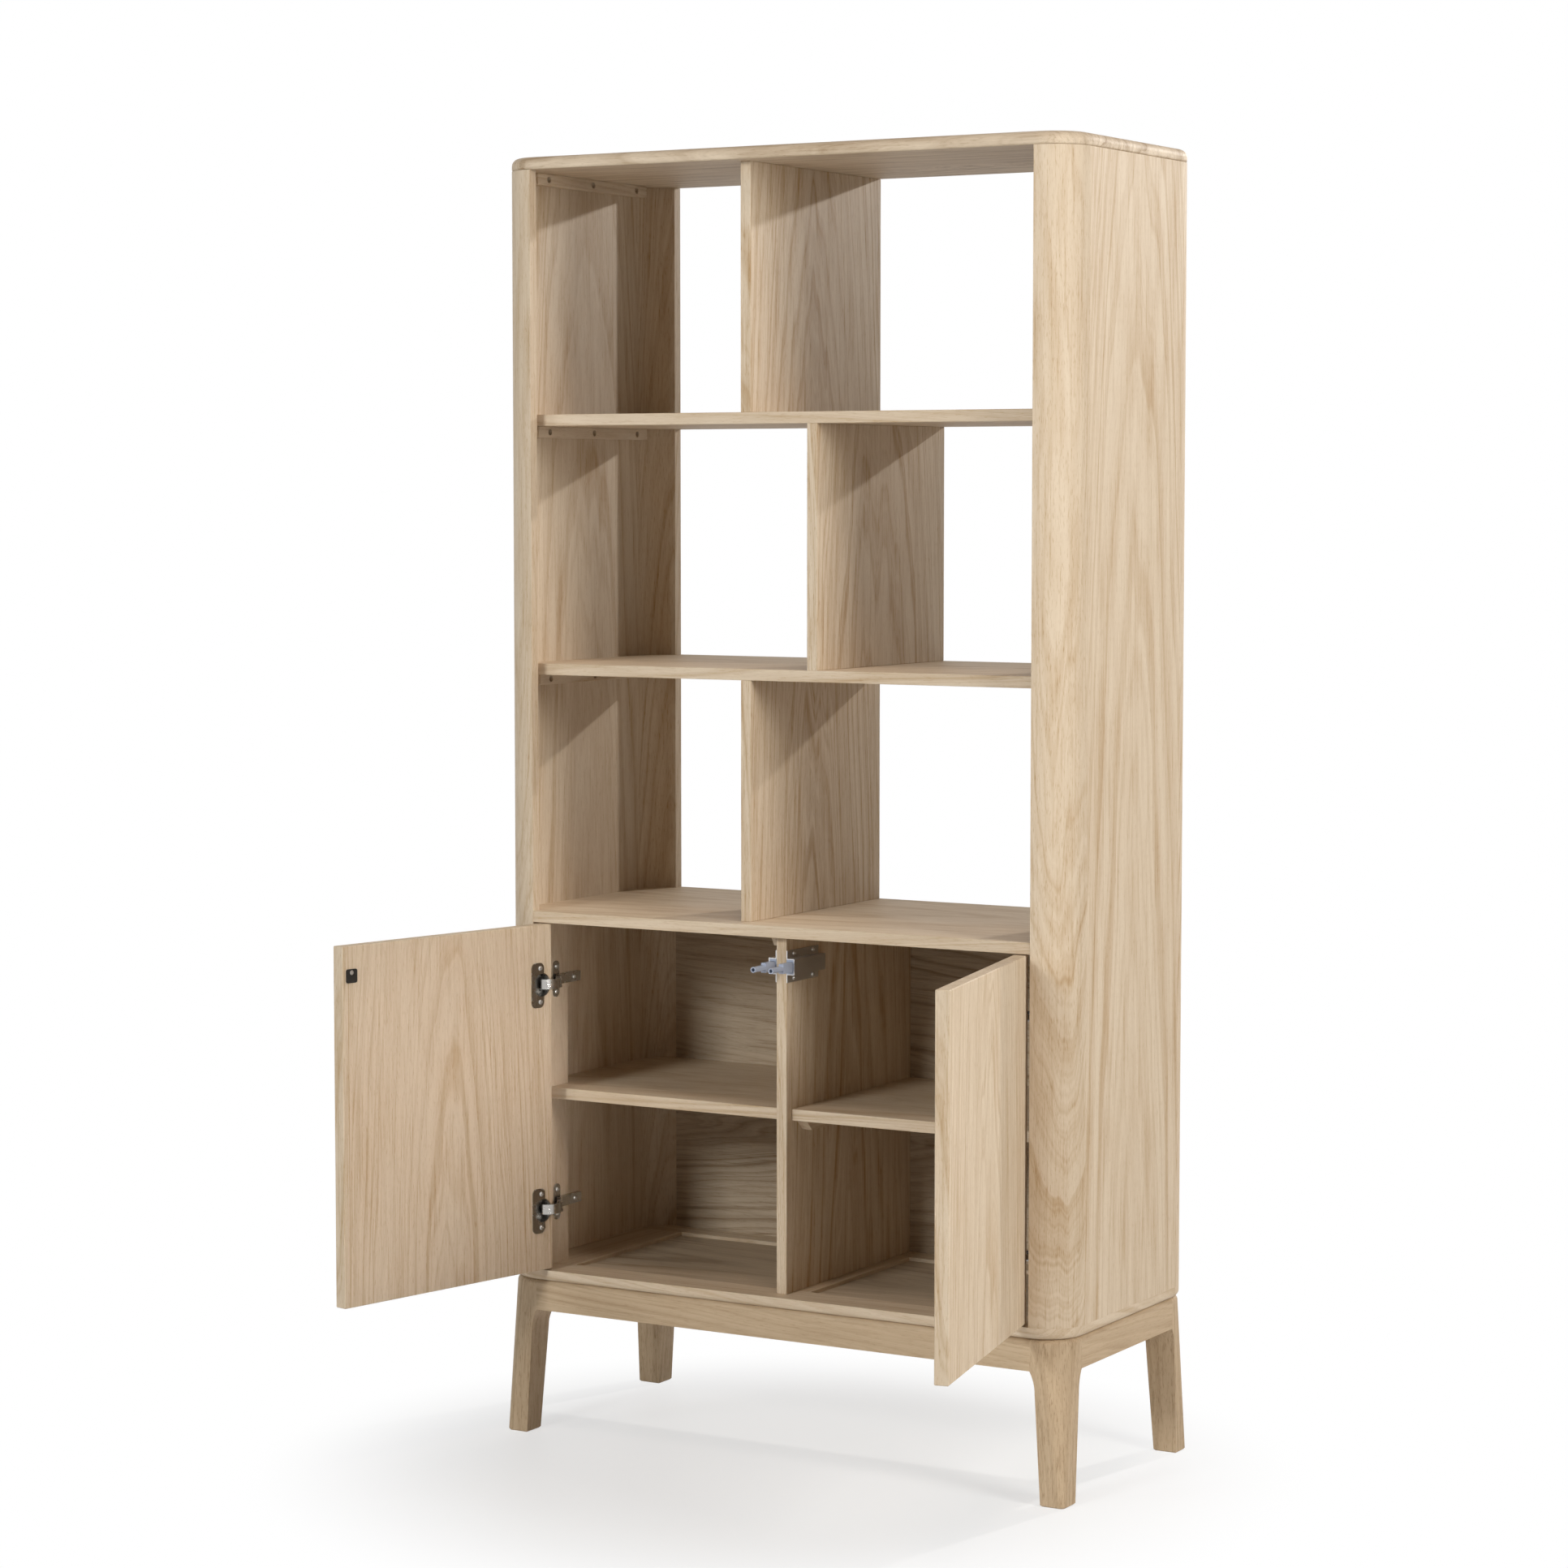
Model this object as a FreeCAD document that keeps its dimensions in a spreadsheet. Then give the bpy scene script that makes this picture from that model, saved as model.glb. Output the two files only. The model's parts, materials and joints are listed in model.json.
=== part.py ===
import FreeCAD, Part
import math
import os

import Sketcher

# Open bookcase over a two-door cabinet, in pale oak, on a low base with four legs.
# Millimetres. X runs to the right, Y to the back and Z up. Both doors are modelled open, as they
# stand at rest, and the origin is on the floor under the middle of the case and its open doors.

os.makedirs("parts", exist_ok=True)
doc = FreeCAD.newDocument("bookcase")
sheet = doc.addObject("Spreadsheet::Sheet", "Sizes")


class Size:
    """A length that knows its number and the sheet expression that gives it."""

    def __init__(self, number, text):
        self.number = float(number)
        self.text = text

    def __add__(self, other):
        other = as_size(other)
        return Size(self.number + other.number, "(%s + %s)" % (self.text, other.text))

    def __radd__(self, other):
        return as_size(other) + self

    def __sub__(self, other):
        other = as_size(other)
        return Size(self.number - other.number, "(%s - %s)" % (self.text, other.text))

    def __rsub__(self, other):
        return as_size(other) - self

    def __mul__(self, other):
        other = as_size(other)
        return Size(self.number * other.number, "(%s * %s)" % (self.text, other.text))

    def __rmul__(self, other):
        return as_size(other) * self

    def __truediv__(self, other):
        other = as_size(other)
        return Size(self.number / other.number, "(%s / %s)" % (self.text, other.text))

    def __neg__(self):
        return Size(-self.number, "(0 - %s)" % self.text)


def as_size(value):
    if isinstance(value, Size):
        return value
    return Size(value, "(%s)" % value if value < 0 else "%s" % value)


def root(value):
    return Size(math.sqrt(value.number), "sqrt(%s)" % value.text)


def sine(angle):
    return Size(math.sin(math.radians(angle.number)), "sin(%s)" % angle.text)


def cosine(angle):
    return Size(math.cos(math.radians(angle.number)), "cos(%s)" % angle.text)


def arc_cosine(value):
    """Angle in degrees."""
    return Size(math.degrees(math.acos(value.number)), "acos(%s)" % value.text)


next_row = 1


def size(name, number, meaning):
    """Write one driving dimension into the sheet and hand it back as a Size."""
    global next_row
    sheet.set("A%d" % next_row, meaning)
    sheet.set("B%d" % next_row, str(number))
    sheet.setAlias("B%d" % next_row, name)
    next_row += 1
    return Size(number, "Sizes." + name)


# Case
width = size("case_width", 900, "over both sides")
depth = size("case_depth", 400, "front to back")
board = size("board_thickness", 16, "sides, posts, shelves, dividers and floor")
corner = size("corner_radius", 56, "outer radius of the rounded corner posts")
edge = size("edge_easing", 0.6, "small chamfer on loose board edges")
top_thick = size("top_thickness", 18, "top board")
top_round = size("top_rounding", 11, "upper edge of the top board")
top_lower_round = size("top_lower_rounding", 3, "lower edge of the top board")
floor_round = size("floor_rounding", 9, "lower edge of the floor frame")

# Heights, from the ground up
base_height = size("base_height", 224, "legs and base rails")
cabinet_height = size("cabinet_height", 498, "clear height behind the doors")
lower_row = size("lower_row_height", 334, "clear height of the lowest open row")
middle_row = size("middle_row_height", 336, "clear height of the middle open row")
upper_row = size("upper_row_height", 341, "clear height of the highest open row")

# Shelves and dividers
shelf_setback = size("shelf_setback", 32, "open shelves behind the front")
cabinet_top_setback = size("cabinet_top_setback", 1, "cabinet top behind the front")
outer_divider_offset = size("outer_divider_offset", 61, "highest and lowest dividers left of middle")
middle_divider_offset = size("middle_divider_offset", 44, "middle divider right of middle")
cabinet_divider_setback = size("cabinet_divider_setback", 25, "cabinet divider behind the front")
back_thick = size("back_thickness", 12, "cabinet back")
cabinet_shelf_rise = size("cabinet_shelf_rise", 241, "loose shelf underside over the cabinet floor")
cabinet_shelf_setback = size("cabinet_shelf_setback", 39, "loose shelf behind the front")
loose_gap = size("loose_gap", 0.5, "play round a loose shelf")

# Battens and cleats
batten_wide = size("batten_width", 17, "batten out from the side")
batten_high = size("batten_height", 16, "batten and cleat height")
batten_hole = size("batten_hole_radius", 4.5, "recess for a batten screw")
batten_hole_deep = size("batten_hole_depth", 10, "recess for a batten screw")
batten_hole_inset = size("batten_hole_inset", 28, "first and last recess from the batten's ends")
cleat_wide = size("cleat_width", 16, "cleat out from the wall it is on")
cleat_slant = size("cleat_slant", 16, "run of a cleat's slanted front end")
cleat_setback = size("cleat_setback", 52, "divider cleats behind the front")
top_cleat_setback = size("top_cleat_setback", 36, "cabinet top cleat behind the front")
top_cleat_slant = size("top_cleat_slant", 10, "run of the cabinet top cleat's slanted end")
strip_deep = size("hinge_strip_depth", 72, "hinge strip, front to back")

# Floor frame
floor_rail_wide = size("floor_rail_width", 90, "side rails of the floor frame")
floor_middle_wide = size("floor_middle_rail_width", 56, "middle rail of the floor frame")
floor_recess = size("floor_recess", 5, "floor panels below the frame")
floor_panel_thick = size("floor_panel_thickness", 7, "floor panels")
groove = size("groove_depth", 6, "grooves that hold the floor panels")

# Base
base_inset = size("base_inset", 4, "base behind the case")
leg_head = size("leg_head", 52, "square leg head")
leg_top_corner = size("leg_top_corner", 46, "outer corner radius at the head")
leg_foot_corner = size("leg_foot_corner", 8, "outer corner radius at the foot")
leg_neck = size("leg_neck", 44, "leg under the shoulder")
leg_foot = size("leg_foot", 35, "leg on the ground")
shoulder = size("shoulder_drop", 30, "curved shoulder under the rail")
foot_chamfer = size("foot_chamfer", 2, "bevel round the foot")
base_rail_high = size("base_rail_height", 43.5, "base rails")
base_rail_thick = size("base_rail_thickness", 20, "base rails")
base_round = size("base_rounding", 7, "upper outer edge of legs and base rails")

# Doors
door_thick = size("door_thickness", 19, "door slab")
door_setback = size("door_setback", 3, "closed door behind the front")
door_side_gap = size("door_side_gap", 3.5, "closed door to post")
door_middle_gap = size("door_middle_gap", 3, "between the closed doors")
door_top_gap = size("door_top_gap", 1.5, "closed door to cabinet top")
door_bottom_gap = size("door_bottom_gap", 3, "closed door to floor")
door_edge = size("door_edge_easing", 1, "chamfer round the door")
open_angle = size("door_open_angle", 102.5, "door standing open at rest, degrees")
axis_from_edge = size("door_axis_from_edge", 5.5, "turning axis from the hinged edge")
axis_from_face = size("door_axis_from_face", 2, "turning axis behind the outer face")

# Hinges
hinge_from_end = size("hinge_from_end", 85.5, "hinge middles from the door's ends")
cup_from_edge = size("cup_from_edge", 20.5, "cup middle from the hinged edge")
cup_bore = size("cup_bore_radius", 17.5, "bore for a hinge cup")
cup_deep = size("cup_bore_depth", 12, "bore for a hinge cup")
cup_wall = size("cup_wall", 1.2, "hinge cup wall and bottom")
fit = size("fit_clearance", 0.05, "radial play of cups, pins and screws")
flange_near = size("flange_from_edge", 16, "cup flange from the hinged edge")
flange_wide = size("flange_width", 24, "cup flange")
flange_high = size("flange_height", 64, "cup flange")
flange_thick = size("flange_thickness", 1.5, "cup flange and mounting plate")
flange_round = size("flange_corner_radius", 8, "cup flange corners")
cup_screw_pitch = size("cup_screw_pitch", 48, "screws above and below a cup")
cup_screw_inset = size("cup_screw_inset", 23, "cup screws from the hinged edge")
pivot_reach = size("link_pivot_reach", 26, "link pivot out from the hinge strip")
pivot_setback = size("link_pivot_setback", 27, "link pivot behind the front")
pivot_pin = size("link_pin_radius", 2, "link pivot pin")
link_hub = size("link_hub_radius", 4.5, "link round its pin")
link_thick = size("link_thickness", 3, "curved link")
link_high = size("link_height", 14, "curved link and arm")
link_curve = size("link_curve_radius", 19.6, "curved link, middle line")
link_side = size("link_tip_side", 7.1, "link tip sideways from its pivot")
link_forward = size("link_tip_forward", 32.9, "link tip in front of its pivot")
tongue_high = size("arm_tongue_height", 7, "arm between the cheeks of the link")
tongue_play = size("arm_tongue_play", 0.3, "tongue to cheek")
tongue_step = size("arm_tongue_step", 1, "tongue end inside the link's hub")
arm_thick = size("arm_thickness", 6, "hinge arm")
arm_end = size("arm_end_setback", 111, "rear of the arm behind the front")
arm_bend = size("arm_bend_setback", 61, "bend of the arm behind the front")
arm_screw = size("arm_screw_setback", 94, "arm screw behind the front")
wing_setback = size("plate_wing_setback", 57, "mounting plate wings behind the front")
wing_wide = size("plate_wing_width", 16, "mounting plate wings")
wing_high = size("plate_wing_height", 52, "mounting plate over both wings")
plate_screw_pitch = size("plate_screw_pitch", 36, "mounting plate screws")

# Push latches
latch_from_top = size("latch_from_top", 42, "latch middle under the cabinet top")
latch_setback = size("latch_setback", 25, "latch bracket behind the front")
latch_long = size("latch_length", 86, "latch bracket")
sheet_thick = size("bracket_sheet", 1.2, "bracket sheet metal")
bracket_high = size("bracket_height", 44.4, "bracket over both flanges")
hat_high = size("hat_height", 22.4, "raised part of the bracket")
hat_out = size("hat_projection", 12.4, "raised part out from the divider")
housing_play = size("housing_play", 0.1, "housing inside its bracket")
slider_wide = size("slider_width", 7.6, "plunger body, across the divider")
slider_high = size("slider_height", 13.4, "plunger body")
slider_long = size("slider_length", 52, "plunger body")
slider_play = size("slider_play", 0.3, "plunger body in its housing")
plunger_axis = size("plunger_axis_out", 6, "plunger middle out from the divider")
tip_radius = size("plunger_tip_radius", 4, "round plunger tip")
tip_hole = size("plunger_tip_hole", 2.6, "hollow in the tip")
tip_hole_deep = size("plunger_tip_hole_depth", 12, "hollow in the tip")
tip_long = size("plunger_tip_length", 28, "round plunger tip, and its reach past the front")
housing_wall = size("housing_rear_wall", 3, "rear of the latch housing")
latch_screw_front = size("latch_screw_front", 19, "front bracket screws from the bracket's front")
latch_screw_run = size("latch_screw_run", 52, "front to rear bracket screws")
latch_screw_pitch = size("latch_screw_pitch", 34, "upper to lower bracket screws")
strike_inset = size("strike_inset", 6, "strike plate from the door's free edge")
strike_wide = size("strike_size", 19, "square strike plate")
strike_thick = size("strike_thickness", 1.5, "strike plate")
strike_round = size("strike_corner_radius", 3, "strike plate corners")
strike_screw_up = size("strike_screw_rise", 4.5, "strike screw over the plate's middle")
sunk_head = size("sunk_head_height", 1, "flat screw head, flush in the strike plate")

# Screws
head_radius = size("screw_head_radius", 3.4, "pan head")
head_high = size("screw_head_height", 1.6, "pan head")
shank_radius = size("screw_shank_radius", 1.5, "shank")
shank_long = size("screw_shank_length", 6, "shank under the head")
past = size("cutter_overrun", 1, "a drill or cutter runs this far past the face it opens")
doc.recompute()

# Planes and levels that many pieces share
side_out = width / 2
side_in = side_out - board
post_edge = side_out - corner
door_free = door_middle_gap / 2
door_hinged = post_edge - door_side_gap
axis_x = door_hinged - axis_from_edge
door_swing = (axis_x - door_free) * sine(open_angle) \
    - (door_thick - door_edge - axis_from_face) * cosine(open_angle)
door_reach = door_swing - door_setback - axis_from_face
case_middle = door_reach / 2
front = case_middle - depth / 2
rear = case_middle + depth / 2
inner_corner = corner - board
post_front = front + corner
post_rear = rear - corner
floor_top = base_height + board
cabinet_under = floor_top + cabinet_height
cabinet_over = cabinet_under + board
lower_under = cabinet_over + lower_row
lower_over = lower_under + board
upper_under = lower_over + middle_row
upper_over = upper_under + board
top_under = upper_over + upper_row
top_over = top_under + top_thick
half_board = board / 2

kept = []


def bind(thing, name, value):
    thing.setExpression(name, as_size(value).text)


def new_body(label):
    body = doc.addObject("PartDesign::Body", label)
    body.Label = label
    return body


def keep(thing):
    """Mark a finished piece for writing out."""
    kept.append(thing)
    return thing


def block(body, label, x, y, z, kind="PartDesign::AdditiveBox"):
    """Box between two X, two Y and two Z levels, added to or cut from a body."""
    box = body.newObject(kind, label)
    bind(box, "Length", x[1] - x[0])
    bind(box, "Width", y[1] - y[0])
    bind(box, "Height", z[1] - z[0])
    bind(box, "Placement.Base.x", x[0])
    bind(box, "Placement.Base.y", y[0])
    bind(box, "Placement.Base.z", z[0])
    doc.recompute()
    return box


TURNS = {
    "Z": FreeCAD.Rotation(),
    "Y": FreeCAD.Rotation(FreeCAD.Vector(1, 0, 0), -90),
    "X": FreeCAD.Rotation(FreeCAD.Vector(0, 1, 0), 90),
}


def rod(body, label, axis, start, radius, length, kind="PartDesign::AdditiveCylinder"):
    """Cylinder that starts at a point and runs along +X, +Y or +Z."""
    cylinder = body.newObject(kind, label)
    cylinder.Placement = FreeCAD.Placement(FreeCAD.Vector(), TURNS[axis])
    bind(cylinder, "Radius", radius)
    bind(cylinder, "Height", length)
    bind(cylinder, "Placement.Base.x", start[0])
    bind(cylinder, "Placement.Base.y", start[1])
    bind(cylinder, "Placement.Base.z", start[2])
    doc.recompute()
    return cylinder


def drill(body, label, axis, start, radius, length):
    return rod(body, label, axis, start, radius, length, "PartDesign::SubtractiveCylinder")


def fix_point(sketch, number, end, place):
    """Hold one end of a sketch line at a place worked out from the sheet."""
    for axis, value in (("DistanceX", as_size(place[0])), ("DistanceY", as_size(place[1]))):
        index = sketch.addConstraint(Sketcher.Constraint(axis, -1, 1, number, end, value.number))
        sketch.setExpression("Constraints[%d]" % index, value.text)


def outline(body, label, plane, level, corners, arcs):
    """Closed sketch through corner points; arcs maps an edge number to (radius, turn).

    Turn is 1 for an edge that bends to the left on its way, -1 for one that bends to the right.
    """
    sketch = body.newObject("Sketcher::SketchObject", label)
    for feature in body.Origin.OriginFeatures:
        if feature.Role == plane:
            sketch.AttachmentSupport = (feature, [""])
    sketch.MapMode = "FlatFace"
    bind(sketch, "AttachmentOffset.Base.z", level)
    draw_outline(sketch, corners, arcs)
    return sketch


def draw_outline(sketch, corners, arcs):
    points = [FreeCAD.Vector(as_size(u).number, as_size(v).number, 0) for u, v in corners]
    count = len(points)
    first_end = {}
    for number in range(count):
        here = points[number]
        there = points[(number + 1) % count]
        if number in arcs:
            radius = as_size(arcs[number][0]).number
            turn = arcs[number][1]
            chord = there - here
            off = math.sqrt(max(radius ** 2 - (chord.Length / 2) ** 2, 0.0))
            left = FreeCAD.Vector(-chord.y, chord.x, 0).normalize()
            middle = (here + there) * 0.5
            centre = middle + left * (off * turn)
            bulge = centre - left * (radius * turn)
            sketch.addGeometry(Part.Arc(here, bulge, there), False)
            # A left-hand bend runs anticlockwise, so its start point is the first corner.
            first_end[number] = 1 if turn > 0 else 2
        else:
            sketch.addGeometry(Part.LineSegment(here, there), False)
            first_end[number] = 1
    for number in range(count):
        after = (number + 1) % count
        sketch.addConstraint(
            Sketcher.Constraint("Coincident", number, 3 - first_end[number], after, first_end[after]))
    for number in range(count):
        fix_point(sketch, number, first_end[number], corners[number])
    for number in arcs:
        value = as_size(arcs[number][0])
        index = sketch.addConstraint(Sketcher.Constraint("Radius", number, value.number))
        sketch.setExpression("Constraints[%d]" % index, value.text)
    doc.recompute()


def pad(body, label, sketch, length, backwards=False):
    feature = body.newObject("PartDesign::Pad", label)
    feature.Profile = sketch
    bind(feature, "Length", length)
    feature.Reversed = backwards
    doc.recompute()
    return feature


def cut_through(body, label, sketch):
    feature = body.newObject("PartDesign::Pocket", label)
    feature.Profile = sketch
    feature.Type = "ThroughAll"
    feature.Midplane = True
    doc.recompute()
    return feature


def edges_where(feature, wanted):
    """Names of the edges whose bounding box passes a test."""
    names = []
    for number, line in enumerate(feature.Shape.Edges, 1):
        if wanted(line.BoundBox):
            names.append("Edge%d" % number)
    return names


def near(value, target):
    return abs(value - target.number) < 0.01


def round_edges(body, label, base, names, radius):
    feature = body.newObject("PartDesign::Fillet", label)
    feature.Base = (base, names)
    bind(feature, "Radius", radius)
    doc.recompute()
    return feature


def chamfer_edges(body, label, base, names, amount):
    feature = body.newObject("PartDesign::Chamfer", label)
    feature.Base = (base, names)
    bind(feature, "Size", amount)
    doc.recompute()
    return feature


def ease_all(body, base, amount):
    names = ["Edge%d" % number for number in range(1, len(base.Shape.Edges) + 1)]
    return chamfer_edges(body, "Easing", base, names, amount)


def board_piece(label, x, y, z, easing=None):
    """A plain rectangular board as one body."""
    body = new_body(label)
    box = block(body, "Board", x, y, z)
    if easing is not None:
        ease_all(body, box, easing)
    return body


def mirrored(label, source, across):
    """Copy of a piece on the other side of the case's middle plane square to X or Y."""
    copy = doc.addObject("Part::Mirroring", label)
    copy.Label = label
    copy.Source = source
    copy.Normal = FreeCAD.Vector(1, 0, 0) if across == "X" else FreeCAD.Vector(0, 1, 0)
    bind(copy, "Base.y", case_middle)
    doc.recompute()
    return copy


def group(label, pieces):
    """Several separate solids under one name."""
    compound = doc.addObject("Part::Compound", label)
    compound.Label = label
    compound.Links = pieces
    doc.recompute()
    return compound


def both_sides(name, right_piece):
    """Keep a right-hand piece and its mirror image."""
    right_piece.Label = "right_" + name
    keep(right_piece)
    keep(mirrored("left_" + name, right_piece, "X"))


# Corner posts: a quarter-round stave, its inner face on the same centre as its outer one
post_corners = [
    (post_edge, front),
    (side_out, post_front),
    (side_in, post_front),
    (post_edge, front + board),
]
post_arcs = {0: (corner, 1), 2: (inner_corner, -1)}
post = new_body("front_right_post")
post_sketch = outline(post, "PostPlan", "XY_Plane", floor_top, post_corners, post_arcs)
pad(post, "PostLength", post_sketch, top_under - floor_top)
keep(post)
keep(mirrored("front_left_post", post, "X"))
rear_post = keep(mirrored("rear_right_post", post, "Y"))
keep(mirrored("rear_left_post", rear_post, "X"))

# Sides between the posts
side = board_piece("side_panel", (side_in, side_out), (post_front, post_rear), (floor_top, top_under))
both_sides("side_panel", side)

# Top board: full outline, with a generous round on its upper edge
case_corners = [
    (-post_edge, front), (post_edge, front),
    (side_out, post_front), (side_out, post_rear),
    (post_edge, rear), (-post_edge, rear),
    (-side_out, post_rear), (-side_out, post_front),
]
case_arcs = {1: (corner, 1), 3: (corner, 1), 5: (corner, 1), 7: (corner, 1)}
top = new_body("top_board")
top_sketch = outline(top, "TopPlan", "XY_Plane", top_under, case_corners, case_arcs)
top_slab = pad(top, "TopSlab", top_sketch, top_thick)
upper_rim = edges_where(top_slab, lambda b: near(b.ZMin, top_over) and near(b.ZMax, top_over))
top_soft = round_edges(top, "UpperRound", top_slab, upper_rim, top_round)
lower_rim = edges_where(top_soft, lambda b: near(b.ZMin, top_under) and near(b.ZMax, top_under))
round_edges(top, "LowerRound", top_soft, lower_rim, top_lower_round)
keep(top)

# Open shelves: their front corners follow the hollow of the posts, and their rear edge
# comes out flush between the rear posts
corner_drop = corner - shelf_setback
corner_reach = post_edge + root(inner_corner * inner_corner - corner_drop * corner_drop)
shelf_front = front + shelf_setback
rear_half = [
    (side_in, post_rear), (post_edge, rear - board),
    (post_edge, rear), (-post_edge, rear),
    (-post_edge, rear - board), (-side_in, post_rear),
]
shelf_corners = [(-corner_reach, shelf_front), (corner_reach, shelf_front), (side_in, post_front)]
shelf_corners = shelf_corners + rear_half + [(-side_in, post_front)]
shelf_arcs = {
    1: (inner_corner, 1),
    3: (inner_corner, 1),
    7: (inner_corner, 1),
    9: (inner_corner, 1),
}
for label, underside in (("upper_shelf", upper_under), ("lower_shelf", lower_under)):
    shelf = new_body(label)
    shelf_sketch = outline(shelf, "ShelfPlan", "XY_Plane", underside, shelf_corners, shelf_arcs)
    shelf_slab = pad(shelf, "ShelfSlab", shelf_sketch, board)
    front_lines = edges_where(
        shelf_slab, lambda b: near(b.YMin, shelf_front) and near(b.YMax, shelf_front) and b.XLength > 1)
    chamfer_edges(shelf, "FrontEasing", shelf_slab, front_lines, edge)
    keep(shelf)

# Cabinet top: fills the front between the posts as well
cabinet_front = front + cabinet_top_setback
cabinet_corners = [
    (-post_edge, cabinet_front), (post_edge, cabinet_front),
    (post_edge, front + board), (side_in, post_front),
]
cabinet_corners = cabinet_corners + rear_half + [(-side_in, post_front), (-post_edge, front + board)]
cabinet_arcs = {
    2: (inner_corner, 1),
    4: (inner_corner, 1),
    8: (inner_corner, 1),
    10: (inner_corner, 1),
}
cabinet_top = new_body("cabinet_top")
cabinet_sketch = outline(cabinet_top, "CabinetTopPlan", "XY_Plane", cabinet_under, cabinet_corners,
                         cabinet_arcs)
cabinet_slab = pad(cabinet_top, "CabinetTopSlab", cabinet_sketch, board)
front_lines = edges_where(
    cabinet_slab, lambda b: near(b.YMin, cabinet_front) and near(b.YMax, cabinet_front) and b.XLength > 1)
chamfer_edges(cabinet_top, "FrontEasing", cabinet_slab, front_lines, edge)
keep(cabinet_top)

# Dividers of the open rows, staggered from row to row
for label, middle, bottom, head in (
        ("upper_divider", -outer_divider_offset, upper_over, top_under),
        ("middle_divider", middle_divider_offset, lower_over, upper_under),
        ("lower_divider", -outer_divider_offset, cabinet_over, lower_under)):
    across = (middle - half_board, middle + half_board)
    keep(board_piece(label, across, (shelf_front, rear), (bottom, head), edge))

# Cabinet divider, drilled for the latch brackets on both of its faces
latch_middle = cabinet_under - latch_from_top
latch_front = front + latch_setback
latch_screw_rows = (latch_front + latch_screw_front, latch_front + latch_screw_front + latch_screw_run)
latch_screw_levels = (latch_middle - latch_screw_pitch / 2, latch_middle + latch_screw_pitch / 2)
divider_run = (front + cabinet_divider_setback, rear - board)
cabinet_divider = board_piece("cabinet_divider", (-half_board, half_board), divider_run,
                              (floor_top, cabinet_under), edge)
for row in latch_screw_rows:
    for level in latch_screw_levels:
        drill(cabinet_divider, "LatchScrewHole", "X", (-board, row, level), shank_radius + fit, 2 * board)
keep(cabinet_divider)

# Cabinet back, between the rear posts
back_front = rear - board
keep(board_piece("back_panel", (-post_edge, post_edge), (back_front, back_front + back_thick),
                 (floor_top, cabinet_under)))

# Floor: a frame with two sunk panels held in grooves
groove_top = floor_top - floor_recess
groove_bottom = groove_top - floor_panel_thick
floor_side_in = side_out - floor_rail_wide
floor_middle_half = floor_middle_wide / 2
floor_front_corners = [
    (-post_edge, front), (post_edge, front),
    (side_out, post_front), (-side_out, post_front),
]
floor_front = new_body("floor_front_rail")
floor_sketch = outline(floor_front, "RailPlan", "XY_Plane", base_height, floor_front_corners,
                       {1: (corner, 1), 3: (corner, 1)})
floor_slab = pad(floor_front, "RailSlab", floor_sketch, board)
lower_rim = edges_where(floor_slab, lambda b: near(b.ZMin, base_height) and near(b.ZMax, base_height)
                        and b.YMin < post_front.number - 0.1)
round_edges(floor_front, "LowerRound", floor_slab, lower_rim, floor_round)
for side_sign in (-1, 1):
    inner_end = floor_middle_half - groove
    outer_end = floor_side_in + groove
    slot_x = (inner_end, outer_end) if side_sign > 0 else (-outer_end, -inner_end)
    block(floor_front, "PanelGroove", slot_x, (post_front - groove, post_front + groove),
          (groove_bottom, groove_top), "PartDesign::SubtractiveBox")
keep(floor_front)
keep(mirrored("floor_rear_rail", floor_front, "Y"))

floor_side = new_body("floor_side_rail")
floor_side_box = block(floor_side, "Rail", (floor_side_in, side_out), (post_front, post_rear),
                       (base_height, floor_top))
lower_line = edges_where(floor_side_box, lambda b: near(b.ZMax, base_height) and near(b.XMin, side_out))
round_edges(floor_side, "LowerRound", floor_side_box, lower_line, floor_round)
block(floor_side, "PanelGroove", (floor_side_in - groove, floor_side_in + groove), (post_front, post_rear),
      (groove_bottom, groove_top), "PartDesign::SubtractiveBox")
both_sides("floor_side_rail", floor_side)

floor_middle = new_body("floor_middle_rail")
block(floor_middle, "Rail", (-floor_middle_half, floor_middle_half), (post_front, post_rear),
      (base_height, floor_top))
for low, high in ((-floor_middle_half - groove, -floor_middle_half + groove),
                  (floor_middle_half - groove, floor_middle_half + groove)):
    block(floor_middle, "PanelGroove", (low, high), (post_front, post_rear),
          (groove_bottom, groove_top), "PartDesign::SubtractiveBox")
keep(floor_middle)
floor_panel = board_piece("floor_panel", (floor_middle_half - groove, floor_side_in + groove),
                          (post_front - groove, post_rear + groove), (groove_bottom, groove_top))
both_sides("floor_panel", floor_panel)

# Battens under the top and the open shelves, screwed to the sides through deep recesses
for label, underside in (("top_battens", top_under), ("upper_shelf_battens", upper_under),
                         ("lower_shelf_battens", lower_under)):
    batten = board_piece(label + "_right", (side_in - batten_wide, side_in), (post_front, post_rear),
                         (underside - batten_high, underside), edge)
    middle = (post_front + post_rear) / 2
    for place in (post_front + batten_hole_inset, middle, post_rear - batten_hole_inset):
        drill(batten, "ScrewRecess", "X", (side_in - batten_wide, place, underside - batten_high / 2),
              batten_hole, batten_hole_deep)
    keep(group(label, [batten, mirrored(label + "_left", batten, "X")]))


def cleat(label, x, foot, start, slant):
    """Small shelf cleat with a slanted front end."""
    body = new_body(label)
    corners = [
        (start + slant, foot), (post_rear, foot),
        (post_rear, foot + batten_high), (start, foot + batten_high),
    ]
    sketch = outline(body, "CleatSide", "YZ_Plane", x[0], corners, {})
    pad(body, "CleatWidth", sketch, x[1] - x[0])
    return body


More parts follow.
